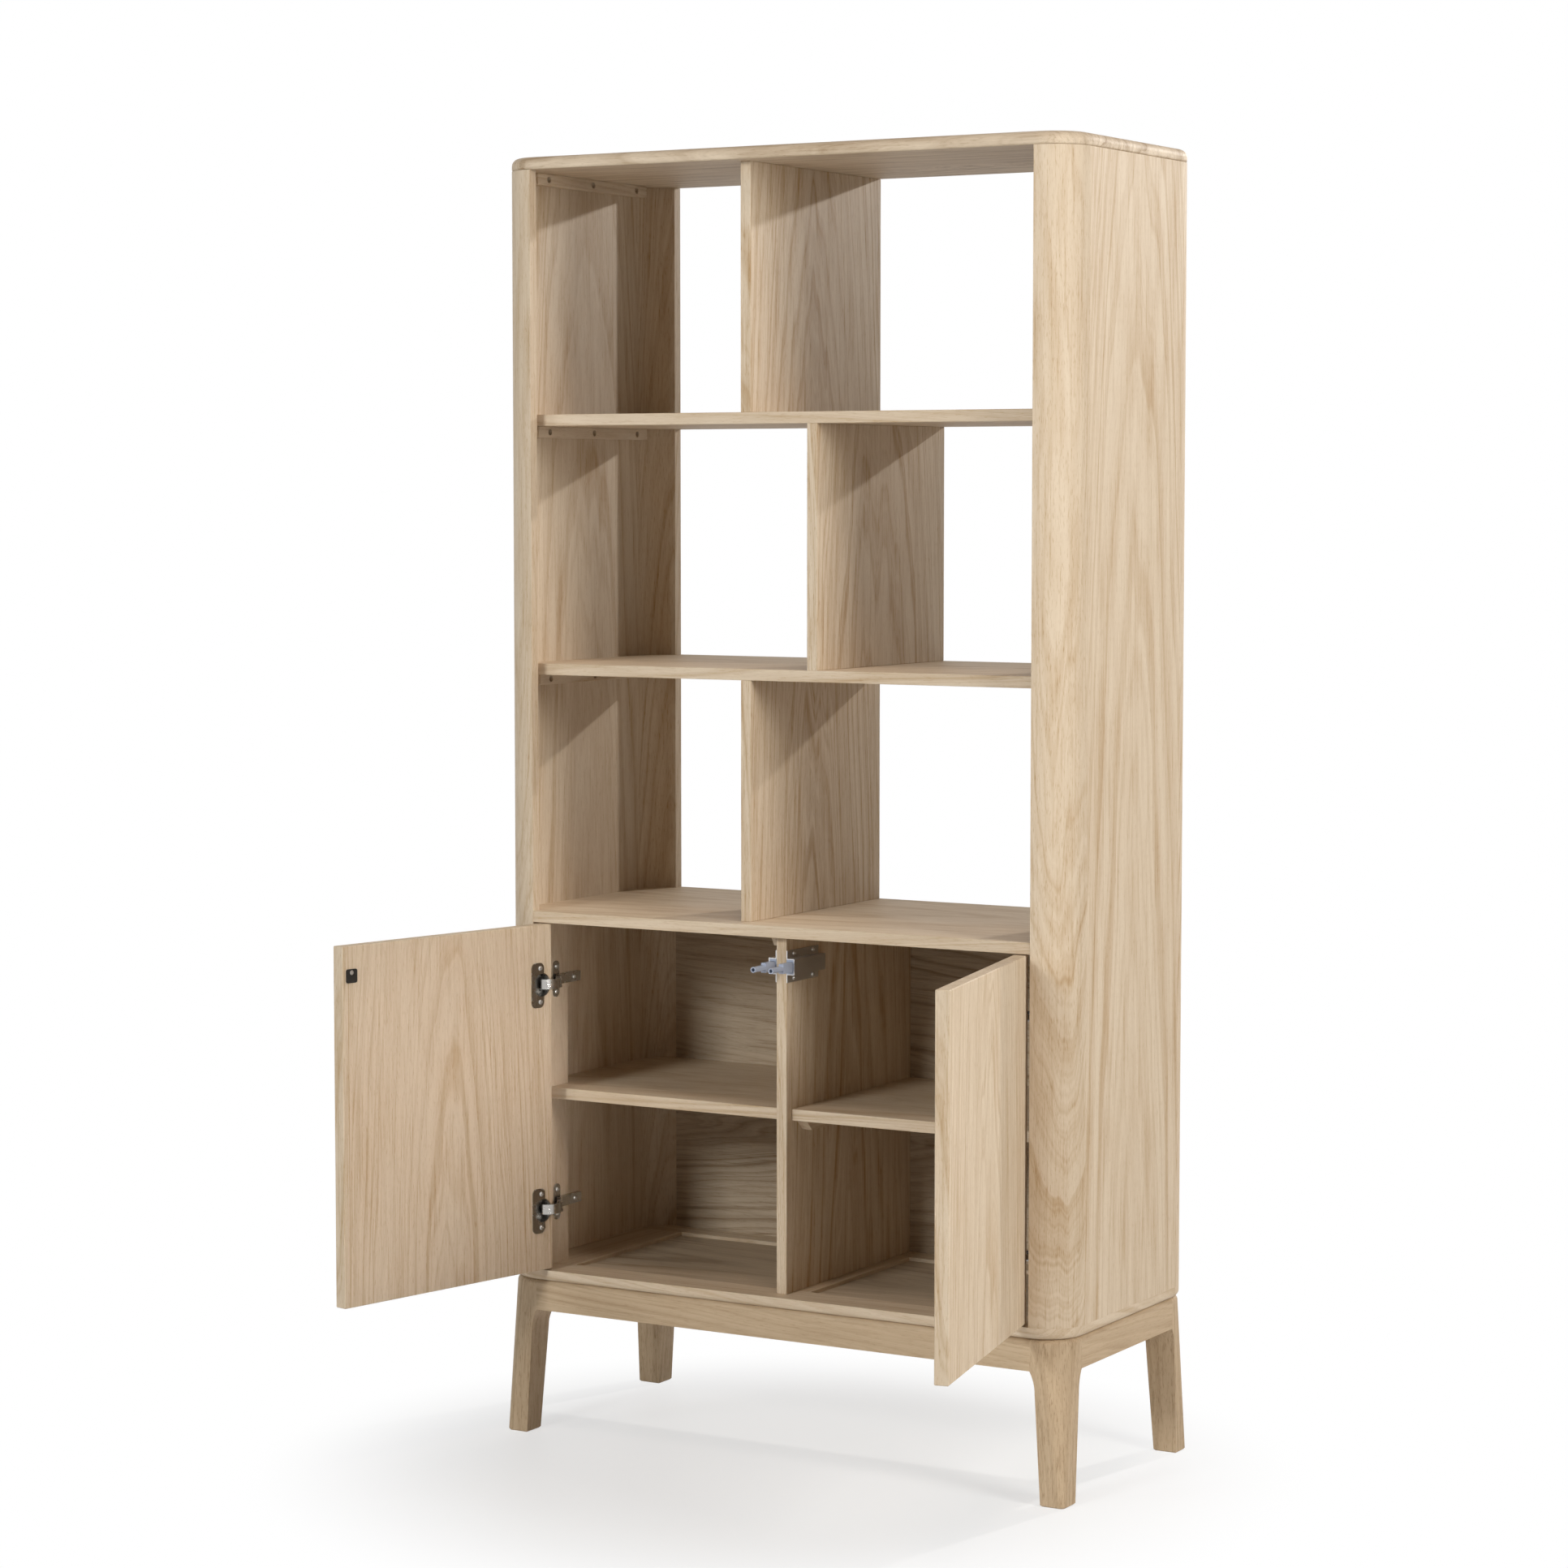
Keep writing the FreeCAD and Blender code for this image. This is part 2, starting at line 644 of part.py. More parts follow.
cabinet_shelf_under = floor_top + cabinet_shelf_rise
cleat_foot = cabinet_shelf_under - batten_high
strip_rear = front + board + strip_deep
divider_cleat = cleat("divider_cleat", (half_board, half_board + cleat_wide), cleat_foot,
                      front + cleat_setback, cleat_slant)
wall_cleat = cleat("wall_cleat", (side_in - cleat_wide, side_in), cleat_foot, strip_rear, cleat_slant)
right_cleats = keep(group("right_shelf_cleats", [divider_cleat, wall_cleat]))
keep(mirrored("left_shelf_cleats", right_cleats, "X"))
keep(cleat("cabinet_top_cleat", (-half_board - cleat_wide, -half_board), cabinet_under - batten_high,
           front + top_cleat_setback, top_cleat_slant))

# Loose cabinet shelves, notched round the hinge strips
shelf_in = half_board + loose_gap
shelf_strip = post_edge - loose_gap
shelf_wall = side_in - loose_gap
loose_corners = [
    (shelf_in, front + cabinet_shelf_setback), (shelf_strip, front + cabinet_shelf_setback),
    (shelf_strip, strip_rear + loose_gap), (shelf_wall, strip_rear + loose_gap),
    (shelf_wall, post_rear - loose_gap), (post_edge - loose_gap, rear - board - loose_gap),
    (shelf_in, rear - board - loose_gap),
]
loose_shelf = new_body("cabinet_shelf")
loose_sketch = outline(loose_shelf, "LooseShelfPlan", "XY_Plane", cabinet_shelf_under, loose_corners,
                       {4: (inner_corner, 1)})
loose_slab = pad(loose_shelf, "LooseShelfSlab", loose_sketch, board)
front_lines = edges_where(loose_slab, lambda b: b.YMax < front.number + cabinet_shelf_setback.number + 0.01
                          and b.XLength > 1)
chamfer_edges(loose_shelf, "FrontEasing", loose_slab, front_lines, edge)
both_sides("cabinet_shelf", loose_shelf)

# Closed-door planes that the doors and all their hardware share
door_outer = front + door_setback
door_inner = door_outer + door_thick
door_foot = floor_top + door_bottom_gap
door_head = cabinet_under - door_top_gap
hinge_levels = (door_foot + hinge_from_end, door_head - hinge_from_end)
axis_y = door_outer + axis_from_face
plate_rows = front + wing_setback
plate_face = post_edge - flange_thick
arm_face = plate_face - arm_thick

# Hinge strips: nest in the hollow of the front posts and carry the hinge plates
strip_corners = [
    (post_edge, front + board), (side_in, post_front),
    (side_in, strip_rear), (post_edge, strip_rear),
]
strip = new_body("hinge_strip")
strip_sketch = outline(strip, "StripPlan", "XY_Plane", floor_top, strip_corners, {0: (inner_corner, 1)})
pad(strip, "StripLength", strip_sketch, cabinet_under - floor_top)
for level in hinge_levels:
    for offset in (-plate_screw_pitch / 2, plate_screw_pitch / 2):
        drill(strip, "PlateScrewHole", "X", (post_edge - flange_thick, plate_rows, level + offset),
              shank_radius + fit, shank_long + flange_thick)
    drill(strip, "ArmScrewHole", "X", (post_edge - flange_thick, front + arm_screw, level),
          shank_radius + fit, shank_long + flange_thick)
both_sides("hinge_strip", strip)

# Legs: round outer corner that tightens towards the foot, tapered inner faces, curved shoulder
leg_out = side_out - base_inset
leg_in = leg_out - leg_head
leg_front = front + base_inset
leg_back = leg_front + leg_head
rail_foot = base_height - base_rail_high
neck_level = rail_foot - shoulder
shoulder_step = leg_head - leg_neck
foot_step = leg_head - leg_foot
shoulder_radius = (shoulder * shoulder + shoulder_step * shoulder_step) / (2 * shoulder_step)
leg = new_body("front_right_leg")
block(leg, "Blank", (leg_in, leg_out), (leg_front, leg_back), (as_size(0), base_height))

# The outer corner is a cone that touches both outer faces. Its tip is on the corner line, below the
# ground, and its axis leans inwards along the diagonal; a groove about that axis takes the corner off.
corner_slope = (leg_top_corner - leg_foot_corner) / base_height
tip_level = -leg_foot_corner / corner_slope
axis_lean = corner_slope * root(as_size(2))
cone_slope = corner_slope / root(1 + corner_slope * corner_slope)
side_lean = (axis_lean - cone_slope) / (1 + axis_lean * cone_slope)
groove_low = tip_level / 2
groove_high = base_height + leg_top_corner / 2
groove_out = leg_top_corner / 2
corner_sketch = leg.newObject("Sketcher::SketchObject", "CornerProfile")
diagonal = FreeCAD.Vector(1, -1, 0)
upright = FreeCAD.Vector(0, 0, 1)
corner_sketch.Placement = FreeCAD.Placement(
    FreeCAD.Vector(), FreeCAD.Rotation(diagonal, upright, diagonal.cross(upright), "XYZ"))
bind(corner_sketch, "Placement.Base.x", leg_out)
bind(corner_sketch, "Placement.Base.y", leg_front)
corner_corners = [
    (-side_lean * (groove_low - tip_level), groove_low), (groove_out, groove_low),
    (groove_out, groove_high), (-side_lean * (groove_high - tip_level), groove_high),
]
draw_outline(corner_sketch, corner_corners, {})
axis_start = (as_size(0), tip_level)
axis_stop = (-axis_lean * (base_height - tip_level), base_height)
axis_line = corner_sketch.addGeometry(Part.LineSegment(
    FreeCAD.Vector(axis_start[0].number, axis_start[1].number, 0),
    FreeCAD.Vector(axis_stop[0].number, axis_stop[1].number, 0)), True)
fix_point(corner_sketch, axis_line, 1, axis_start)
fix_point(corner_sketch, axis_line, 2, axis_stop)
doc.recompute()
corner_groove = leg.newObject("PartDesign::Groove", "CornerTaper")
corner_groove.Profile = corner_sketch
corner_groove.ReferenceAxis = (corner_sketch, ["Axis0"])
corner_groove.Midplane = True
bind(corner_groove, "Angle", arc_cosine(-corner_slope * corner_slope / (1 + corner_slope * corner_slope)))
doc.recompute()
waste = leg_head
across_corners = [
    (leg_in - waste, rail_foot), (leg_in - waste, -waste),
    (leg_in + foot_step, -waste), (leg_in + foot_step, as_size(0)),
    (leg_in + shoulder_step, neck_level), (leg_in, rail_foot),
]
across_sketch = outline(leg, "InnerTaperAcross", "XZ_Plane", as_size(0), across_corners,
                        {4: (shoulder_radius, 1)})
cut_through(leg, "CutAcross", across_sketch)
along_corners = [
    (leg_back + waste, rail_foot), (leg_back, rail_foot),
    (leg_back - shoulder_step, neck_level), (leg_back - foot_step, as_size(0)),
    (leg_back - foot_step, -waste), (leg_back + waste, -waste),
]
along_sketch = outline(leg, "InnerTaperAlong", "YZ_Plane", as_size(0), along_corners,
                       {1: (shoulder_radius, 1)})
leg_taper = cut_through(leg, "CutAlong", along_sketch)
head_rim = edges_where(leg_taper, lambda b: near(b.ZMin, base_height) and near(b.ZMax, base_height)
                       and (b.YMin < leg_front.number + 0.01 or b.XMax > leg_out.number - 0.01)
                       and not (near(b.YMax, leg_back) and near(b.YMin, leg_back))
                       and not (near(b.XMax, leg_in) and near(b.XMin, leg_in)))
leg_soft = round_edges(leg, "HeadRound", leg_taper, head_rim, base_round)
foot_rim = edges_where(leg_soft, lambda b: abs(b.ZMin) < 0.01 and abs(b.ZMax) < 0.01)
chamfer_edges(leg, "FootBevel", leg_soft, foot_rim, foot_chamfer)
keep(leg)
keep(mirrored("front_left_leg", leg, "X"))
rear_leg = keep(mirrored("rear_right_leg", leg, "Y"))
keep(mirrored("rear_left_leg", rear_leg, "X"))

# Base rails between the leg heads
front_rail = new_body("base_front_rail")
front_rail_box = block(front_rail, "Rail", (-leg_in, leg_in), (leg_front, leg_front + base_rail_thick),
                       (rail_foot, base_height))
upper_line = edges_where(front_rail_box, lambda b: near(b.ZMin, base_height) and near(b.YMax, leg_front))
round_edges(front_rail, "UpperRound", front_rail_box, upper_line, base_round)
keep(front_rail)
keep(mirrored("base_rear_rail", front_rail, "Y"))
side_rail = new_body("base_side_rail")
side_rail_run = (leg_back, 2 * case_middle - leg_back)
side_rail_box = block(side_rail, "Rail", (leg_out - base_rail_thick, leg_out), side_rail_run,
                      (rail_foot, base_height))
upper_line = edges_where(side_rail_box, lambda b: near(b.ZMin, base_height) and near(b.XMin, leg_out))
round_edges(side_rail, "UpperRound", side_rail_box, upper_line, base_round)
both_sides("base_side_rail", side_rail)


def swing_open(thing):
    """Turn a piece of the right door, drawn closed, about the door's axis to where it stands open."""
    thing.Placement = FreeCAD.Placement(FreeCAD.Vector(), FreeCAD.Rotation(FreeCAD.Vector(0, 0, 1), 1))
    bind(thing, "Placement.Rotation.Angle", open_angle)
    bind(thing, "Placement.Base.x", axis_x - axis_x * cosine(open_angle) + axis_y * sine(open_angle))
    bind(thing, "Placement.Base.y", axis_y - axis_x * sine(open_angle) - axis_y * cosine(open_angle))
    doc.recompute()


# Doors, drilled for the hinge cups and the strike plate's screw
cup_x = door_hinged - cup_from_edge
cup_screw_x = door_hinged - cup_screw_inset
strike_x = door_free + strike_inset + strike_wide / 2
strike_screw_level = latch_middle + strike_screw_up

door = board_piece("door", (door_free, door_hinged), (door_outer, door_inner), (door_foot, door_head),
                   door_edge)
for level in hinge_levels:
    drill(door, "CupBore", "Y", (cup_x, door_inner - cup_deep, level), cup_bore, cup_deep + past)
    for offset in (-cup_screw_pitch / 2, cup_screw_pitch / 2):
        drill(door, "CupScrewHole", "Y", (cup_screw_x, door_inner - shank_long, level + offset),
              shank_radius + fit, shank_long + past)
drill(door, "StrikeScrewHole", "Y", (strike_x, door_inner - shank_long, strike_screw_level),
      shank_radius + fit, shank_long + past)
swing_open(door)
both_sides("door", door)

# Hinge cups: pressed steel cup with a screwed flange
cups = []
for number, level in enumerate(hinge_levels):
    cup = new_body("hinge_cup_%d" % number)
    flange_x = (door_hinged - flange_near - flange_wide, door_hinged - flange_near)
    flange = block(cup, "Flange", flange_x, (door_inner, door_inner + flange_thick),
                   (level - flange_high / 2, level + flange_high / 2))
    flange_corners = edges_where(flange, lambda b: b.YLength > 0.5 and b.XLength < 0.01 and b.ZLength < 0.01)
    round_edges(cup, "FlangeCorners", flange, flange_corners, flange_round)
    rod(cup, "CupWall", "Y", (cup_x, door_inner - cup_deep + fit, level), cup_bore - fit,
        cup_deep - fit + flange_thick / 2)
    drill(cup, "CupHollow", "Y", (cup_x, door_inner - cup_deep + fit + cup_wall, level),
          cup_bore - fit - cup_wall, cup_deep + flange_thick)
    for offset in (-cup_screw_pitch / 2, cup_screw_pitch / 2):
        drill(cup, "CupScrewHole", "Y", (cup_screw_x, door_inner - past, level + offset),
              shank_radius + fit, flange_thick + 2 * past)
    cups.append(cup)
right_cups = group("right_hinge_cups", cups)
swing_open(right_cups)
both_sides("hinge_cups", right_cups)

# Mounting plates: a winged plate under each arm, screwed to the hinge strip
plates = []
for number, level in enumerate(hinge_levels):
    plate = new_body("hinge_plate_%d" % number)
    block(plate, "Spine", (plate_face, post_edge), (plate_rows - wing_wide / 2, front + arm_end),
          (level - link_high / 2, level + link_high / 2))
    wings = block(plate, "Wings", (plate_face, post_edge),
                  (plate_rows - wing_wide / 2, plate_rows + wing_wide / 2),
                  (level - wing_high / 2, level + wing_high / 2))
    wing_ends = edges_where(wings, lambda b: b.XLength > 0.5 and b.YLength < 0.01 and b.ZLength < 0.01
                            and abs(b.ZMin - level.number) > wing_high.number / 2 - 0.1)
    round_edges(plate, "WingEnds", wings, wing_ends, wing_wide * 0.45)
    for offset in (-plate_screw_pitch / 2, plate_screw_pitch / 2):
        drill(plate, "PlateScrewHole", "X", (plate_face - past, plate_rows, level + offset),
              shank_radius + fit, flange_thick + 2 * past)
    drill(plate, "ArmScrewHole", "X", (plate_face - past, front + arm_screw, level),
          shank_radius + fit, flange_thick + 2 * past)
    plates.append(plate)
right_plates = group("right_plates", plates)
keep(group("hinge_plates", [right_plates, mirrored("left_plates", right_plates, "X")]))

# Hinge arms: cranked from the plate to the link's pivot, ending in a tongue with a pin
pivot_x = post_edge - pivot_reach
pivot_y = front + pivot_setback
half_tongue = tongue_high / 2
tongue_radius = link_hub - tongue_step
arms = []
for number, level in enumerate(hinge_levels):
    arm = new_body("hinge_arm_%d" % number)
    low = level - link_high / 2
    arm_corners = [
        (pivot_x + tongue_radius * 0.8, pivot_y - tongue_radius * 0.6),
        (plate_face, front + arm_bend - arm_thick), (plate_face, front + arm_end),
        (arm_face, front + arm_end), (arm_face, front + arm_bend),
        (pivot_x - tongue_radius * 0.8, pivot_y + tongue_radius * 0.6),
    ]
    arm_sketch = outline(arm, "ArmPlan", "XY_Plane", low, arm_corners, {})
    pad(arm, "ArmBar", arm_sketch, link_high)
    tongue_x = (pivot_x - 2 * link_hub, pivot_x + 4 * link_hub)
    tongue_y = (pivot_y - 2 * link_hub, pivot_y + 2 * link_hub)
    for span in ((level - link_high, level - half_tongue), (level + half_tongue, level + link_high)):
        block(arm, "TongueStep", tongue_x, tongue_y, span, "PartDesign::SubtractiveBox")
    rod(arm, "TongueEnd", "Z", (pivot_x, pivot_y, level - half_tongue), tongue_radius, tongue_high)
    rod(arm, "PivotPin", "Z", (pivot_x, pivot_y, low), pivot_pin, link_high)
    drill(arm, "ArmScrewHole", "X", (arm_face - past, front + arm_screw, level),
          shank_radius + fit, arm_thick + 2 * past)
    arms.append(arm)
right_arms = group("right_arms", arms)
keep(group("hinge_arms", [right_arms, mirrored("left_arms", right_arms, "X")]))

# Curved hinge links: forked on the arm's tongue, reaching round the door's edge into the cup
link_chord = root(link_side * link_side + link_forward * link_forward)
link_sink = root(link_curve * link_curve - link_chord * link_chord / 4)
link_mid_x = pivot_x + link_side / 2
link_mid_y = pivot_y - link_forward / 2
link_centre_x = link_mid_x + link_forward / link_chord * link_sink
link_centre_y = link_mid_y + link_side / link_chord * link_sink
tip_x = pivot_x + link_side
tip_y = pivot_y - link_forward
outer_share = (link_curve + link_thick / 2) / link_curve
inner_share = (link_curve - link_thick / 2) / link_curve


def on_curve(point, share):
    """Point at the same bearing from the link's centre, nearer to it or further out."""
    return (link_centre_x + (point[0] - link_centre_x) * share,
            link_centre_y + (point[1] - link_centre_y) * share)


links = []
for number, level in enumerate(hinge_levels):
    link = new_body("hinge_link_%d" % number)
    low = level - link_high / 2
    band_corners = [
        on_curve((pivot_x, pivot_y), outer_share), on_curve((tip_x, tip_y), outer_share),
        on_curve((tip_x, tip_y), inner_share), on_curve((pivot_x, pivot_y), inner_share),
    ]
    band_arcs = {0: (link_curve + link_thick / 2, 1), 2: (link_curve - link_thick / 2, -1)}
    band_sketch = outline(link, "BandPlan", "XY_Plane", low, band_corners, band_arcs)
    pad(link, "Band", band_sketch, link_high)
    rod(link, "Hub", "Z", (pivot_x, pivot_y, low), link_hub, link_high)
    rod(link, "TipRound", "Z", (tip_x, tip_y, low), link_thick / 2, link_high)
    drill(link, "PinHole", "Z", (pivot_x, pivot_y, low - past), pivot_pin + fit, link_high + 2 * past)
    drill(link, "TongueSlot", "Z", (pivot_x, pivot_y, level - half_tongue - tongue_play),
          link_hub + arm_thick / 2, tongue_high + 2 * tongue_play)
    links.append(link)
right_links = group("right_hinge_links", links)
both_sides("hinge_links", right_links)

# Push latches on the cabinet divider: sheet bracket, housing and sprung plunger
hat_half = hat_high / 2
flange_half = bracket_high / 2
hat_face = half_board + hat_out
bracket_corners = [
    (half_board, latch_middle + hat_half - sheet_thick),
    (hat_face - sheet_thick, latch_middle + hat_half - sheet_thick),
    (hat_face - sheet_thick, latch_middle - hat_half + sheet_thick),
    (half_board, latch_middle - hat_half + sheet_thick),
    (half_board, latch_middle - flange_half), (half_board + sheet_thick, latch_middle - flange_half),
    (half_board + sheet_thick, latch_middle - hat_half), (hat_face, latch_middle - hat_half),
    (hat_face, latch_middle + hat_half), (half_board + sheet_thick, latch_middle + hat_half),
    (half_board + sheet_thick, latch_middle + flange_half), (half_board, latch_middle + flange_half),
]
bracket = new_body("latch_bracket")
bracket_sketch = outline(bracket, "BracketProfile", "XZ_Plane", -latch_front, bracket_corners, {})
pad(bracket, "BracketLength", bracket_sketch, latch_long, backwards=True)
for row in latch_screw_rows:
    for level in latch_screw_levels:
        drill(bracket, "BracketScrewHole", "X", (half_board - past, row, level),
              shank_radius + fit, sheet_thick + 2 * past)
both_sides("latch_bracket", bracket)

plunger_x = half_board + plunger_axis
bore_x = (plunger_x - slider_wide / 2 - slider_play, plunger_x + slider_wide / 2 + slider_play)
bore_half = slider_high / 2 + slider_play
housing_half = hat_half - sheet_thick - housing_play
housing = new_body("latch_housing")
block(housing, "Case", (half_board + housing_play, hat_face - sheet_thick - housing_play),
      (latch_front, latch_front + latch_long), (latch_middle - housing_half, latch_middle + housing_half))
block(housing, "PlungerBore", bore_x, (latch_front - past, latch_front + latch_long - housing_wall),
      (latch_middle - bore_half, latch_middle + bore_half), "PartDesign::SubtractiveBox")
both_sides("latch_housing", housing)

plunger = new_body("latch_plunger")
block(plunger, "Slider", (plunger_x - slider_wide / 2, plunger_x + slider_wide / 2),
      (front, front + slider_long), (latch_middle - slider_high / 2, latch_middle + slider_high / 2))
rod(plunger, "Tip", "Y", (plunger_x, front - tip_long, latch_middle), tip_radius, tip_long + past)
drill(plunger, "TipHollow", "Y", (plunger_x, front - tip_long - past, latch_middle),
      tip_hole, tip_hole_deep + past)
both_sides("latch_plunger", plunger)

# Strike plates on the doors, met by the plungers
strike = new_body("strike_plate")
strike_box = block(strike, "Plate", (strike_x - strike_wide / 2, strike_x + strike_wide / 2),
                   (door_inner, door_inner + strike_thick),
                   (latch_middle - strike_wide / 2, latch_middle + strike_wide / 2))
strike_ends = edges_where(strike_box, lambda b: b.YLength > 0.5 and b.XLength < 0.01 and b.ZLength < 0.01)
round_edges(strike, "Corners", strike_box, strike_ends, strike_round)
drill(strike, "StrikeScrewHole", "Y", (strike_x, door_inner - past, strike_screw_level),
      shank_radius + fit, strike_thick + 2 * past)
drill(strike, "HeadRecess", "Y", (strike_x, door_inner + strike_thick - sunk_head, strike_screw_level),
      head_radius + fit, sunk_head + past)
swing_open(strike)
both_sides("strike_plate", strike)


def screw(label, axis, seat, away, length=shank_long, thick=head_high):
    """Screw whose head sits on a face; away is the side of the seat that the head is on."""
    body = new_body(label)
    place = {"X": 0, "Y": 1}[axis]
    head_start = list(seat)
    shank_start = list(seat)
    if away > 0:
        shank_start[place] = seat[place] - length
    else:
        head_start[place] = seat[place] - thick
    head = rod(body, "Head", axis, tuple(head_start), head_radius, thick)
    outer = seat[place] + thick * away
    low_name, high_name = {"X": ("XMin", "XMax"), "Y": ("YMin", "YMax")}[axis]
    rim = edges_where(
        head, lambda b: near(getattr(b, low_name), outer) and near(getattr(b, high_name), outer))
    chamfer_edges(body, "HeadBevel", head, rim, thick * 0.45)
    rod(body, "Shank", axis, tuple(shank_start), shank_radius, length + thick / 2)
    return body


door_screws = []
for level in hinge_levels:
    for offset in (-cup_screw_pitch / 2, cup_screw_pitch / 2):
        seat = (cup_screw_x, door_inner + flange_thick, level + offset)
        door_screws.append(screw("cup_screw_%d" % len(door_screws), "Y", seat, 1))
seat = (strike_x, door_inner + strike_thick - sunk_head, strike_screw_level)
door_screws.append(screw("strike_screw", "Y", seat, 1, shank_long, sunk_head))
right_door_screws = group("right_door_screws", door_screws)
swing_open(right_door_screws)
both_sides("door_screws", right_door_screws)

case_screws = []
for level in hinge_levels:
    for offset in (-plate_screw_pitch / 2, plate_screw_pitch / 2):
        seat = (plate_face, plate_rows, level + offset)
        case_screws.append(screw("plate_screw_%d" % len(case_screws), "X", seat, -1))
    seat = (arm_face, front + arm_screw, level)
    case_screws.append(screw("arm_screw_%d" % len(case_screws), "X", seat, -1, arm_thick + shank_long))
for row in latch_screw_rows:
    for level in latch_screw_levels:
        seat = (half_board + sheet_thick, row, level)
        case_screws.append(screw("bracket_screw_%d" % len(case_screws), "X", seat, 1))
right_case_screws = group("right_case_screws", case_screws)
keep(group("case_screws", [right_case_screws, mirrored("left_case_screws", right_case_screws, "X")]))

doc.recompute()
for thing in doc.Objects:
    if "Invalid" in thing.State or "Error" in thing.State:
        raise RuntimeError("%s did not build" % thing.Label)
for thing in kept:
    if thing.Shape.isNull() or not thing.Shape.isValid():
        raise RuntimeError("%s has no sound shape" % thing.Label)
    thing.Shape.exportStep("parts/%s.step" % thing.Label)
    print("%-24s solids %2d  volume %.0f" % (thing.Label, len(thing.Shape.Solids), thing.Shape.Volume))
print("%d pieces" % len(kept))
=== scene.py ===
# %% [markdown]
# # An oak bookcase over a cabinet
# The carpentry comes from the frame: every board, post, leg, hinge and latch is already there at its
# real size, in metres, with +Z up and the front towards -Y. This lesson gives the pieces their wood
# and metal, adds the small parts that a maker would miss, and lights the whole like a studio picture.

# %% Load the carpentry
import json
import math

import bmesh
import bpy
from mathutils import Matrix, Vector


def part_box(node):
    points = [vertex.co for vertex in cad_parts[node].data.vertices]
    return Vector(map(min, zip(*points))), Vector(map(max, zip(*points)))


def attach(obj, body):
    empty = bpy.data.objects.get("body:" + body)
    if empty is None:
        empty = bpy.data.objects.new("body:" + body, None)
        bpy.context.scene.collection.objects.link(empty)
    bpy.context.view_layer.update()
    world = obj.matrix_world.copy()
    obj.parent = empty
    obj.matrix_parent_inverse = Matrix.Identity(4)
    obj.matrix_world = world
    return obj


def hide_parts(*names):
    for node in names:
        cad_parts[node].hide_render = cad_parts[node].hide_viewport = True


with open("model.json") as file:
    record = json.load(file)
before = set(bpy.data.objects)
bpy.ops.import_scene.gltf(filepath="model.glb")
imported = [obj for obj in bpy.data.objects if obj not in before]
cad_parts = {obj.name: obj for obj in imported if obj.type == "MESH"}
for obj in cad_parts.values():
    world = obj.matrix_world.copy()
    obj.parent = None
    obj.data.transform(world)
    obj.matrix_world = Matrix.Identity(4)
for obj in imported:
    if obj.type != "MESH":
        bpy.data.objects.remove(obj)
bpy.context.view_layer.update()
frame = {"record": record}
top_low, top_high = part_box("top_board")
case_middle = (top_low.y + top_high.y) / 2
print("the case's middle is %.4f m behind the origin" % case_middle)

# %% [markdown]
# ## Small helpers for shader nodes
# Wood, metal and plastic are chains of shader nodes. They could be drawn by hand in the shader editor,
# but a script can be read and run again. Making one node, setting its sockets and wiring it up takes
# several lines each time, so helpers do it: a socket gets either a plain value or another node's
# output, and it is found by its name, or by its number where several sockets share a name.


# %% Node helpers
def set_sockets(tree, node, sockets):
    """Give a node's sockets plain values or the outputs of other nodes."""
    for name, value in sockets.items():
        if isinstance(value, bpy.types.NodeSocket):
            tree.links.new(value, node.inputs[name])
        else:
            node.inputs[name].default_value = value


def add_node(tree, kind, settings=None, sockets=None):
    """Add one node with its settings and sockets."""
    node = tree.nodes.new(kind)
    for name, value in (settings or {}).items():
        setattr(node, name, value)
    set_sockets(tree, node, sockets or {})
    return node


def new_finish(name):
    """A new material that holds one shader and its output."""
    finish = bpy.data.materials.new(name)
    finish.use_nodes = True
    tree = finish.node_tree
    tree.nodes.clear()
    shader = add_node(tree, "ShaderNodeBsdfPrincipled")
    add_node(tree, "ShaderNodeOutputMaterial", {}, {"Surface": shader.outputs["BSDF"]})
    return finish, tree, shader


print("helpers for nodes and finishes are ready")

# %% [markdown]
# ## Helpers for sums, noise and colours
# A pattern is a sum of simple steps: noise in space, a stretch of its range, a blend of two colours.
# Each step is one node, so each gets one short function that returns the node's result.

# %% Pattern helpers
MIX_SHARE = 0
MIX_FIRST = 6
MIX_SECOND = 7
MIX_RESULT = 2


def number_math(tree, operation, *numbers):
    """One step of arithmetic with numbers."""
    node = add_node(tree, "ShaderNodeMath", {"operation": operation}, dict(enumerate(numbers)))
    return node.outputs["Value"]


def vector_math(tree, operation, *vectors):
    """One step of arithmetic with vectors; lengths and dot products are plain numbers."""
    node = add_node(tree, "ShaderNodeVectorMath", {"operation": operation}, dict(enumerate(vectors)))
    result = "Value" if operation in ("LENGTH", "DOT_PRODUCT") else "Vector"
    return node.outputs[result]


def spread(tree, value, low, high, start, stop):
    """Map a value between two levels to a new range, held at its ends."""
    return add_node(tree, "ShaderNodeMapRange", {}, {
        "Value": value, "From Min": low, "From Max": high, "To Min": start, "To Max": stop,
    }).outputs["Result"]


def noise(tree, places, scale, detail, rough=0.5):
    """Noise in space."""
    return add_node(tree, "ShaderNodeTexNoise", {}, {
        "Vector": places, "Scale": scale, "Detail": detail, "Roughness": rough,
    })


def blend(tree, share, first, second):
    """Blend two colours: a share of 0 gives the first, a share of 1 the second."""
    return add_node(tree, "ShaderNodeMix", {"data_type": "RGBA"}, {
        MIX_SHARE: share, MIX_FIRST: (*first, 1.0), MIX_SECOND: (*second, 1.0),
    }).outputs[MIX_RESULT]


print("helpers for sums, noise and colours are ready")

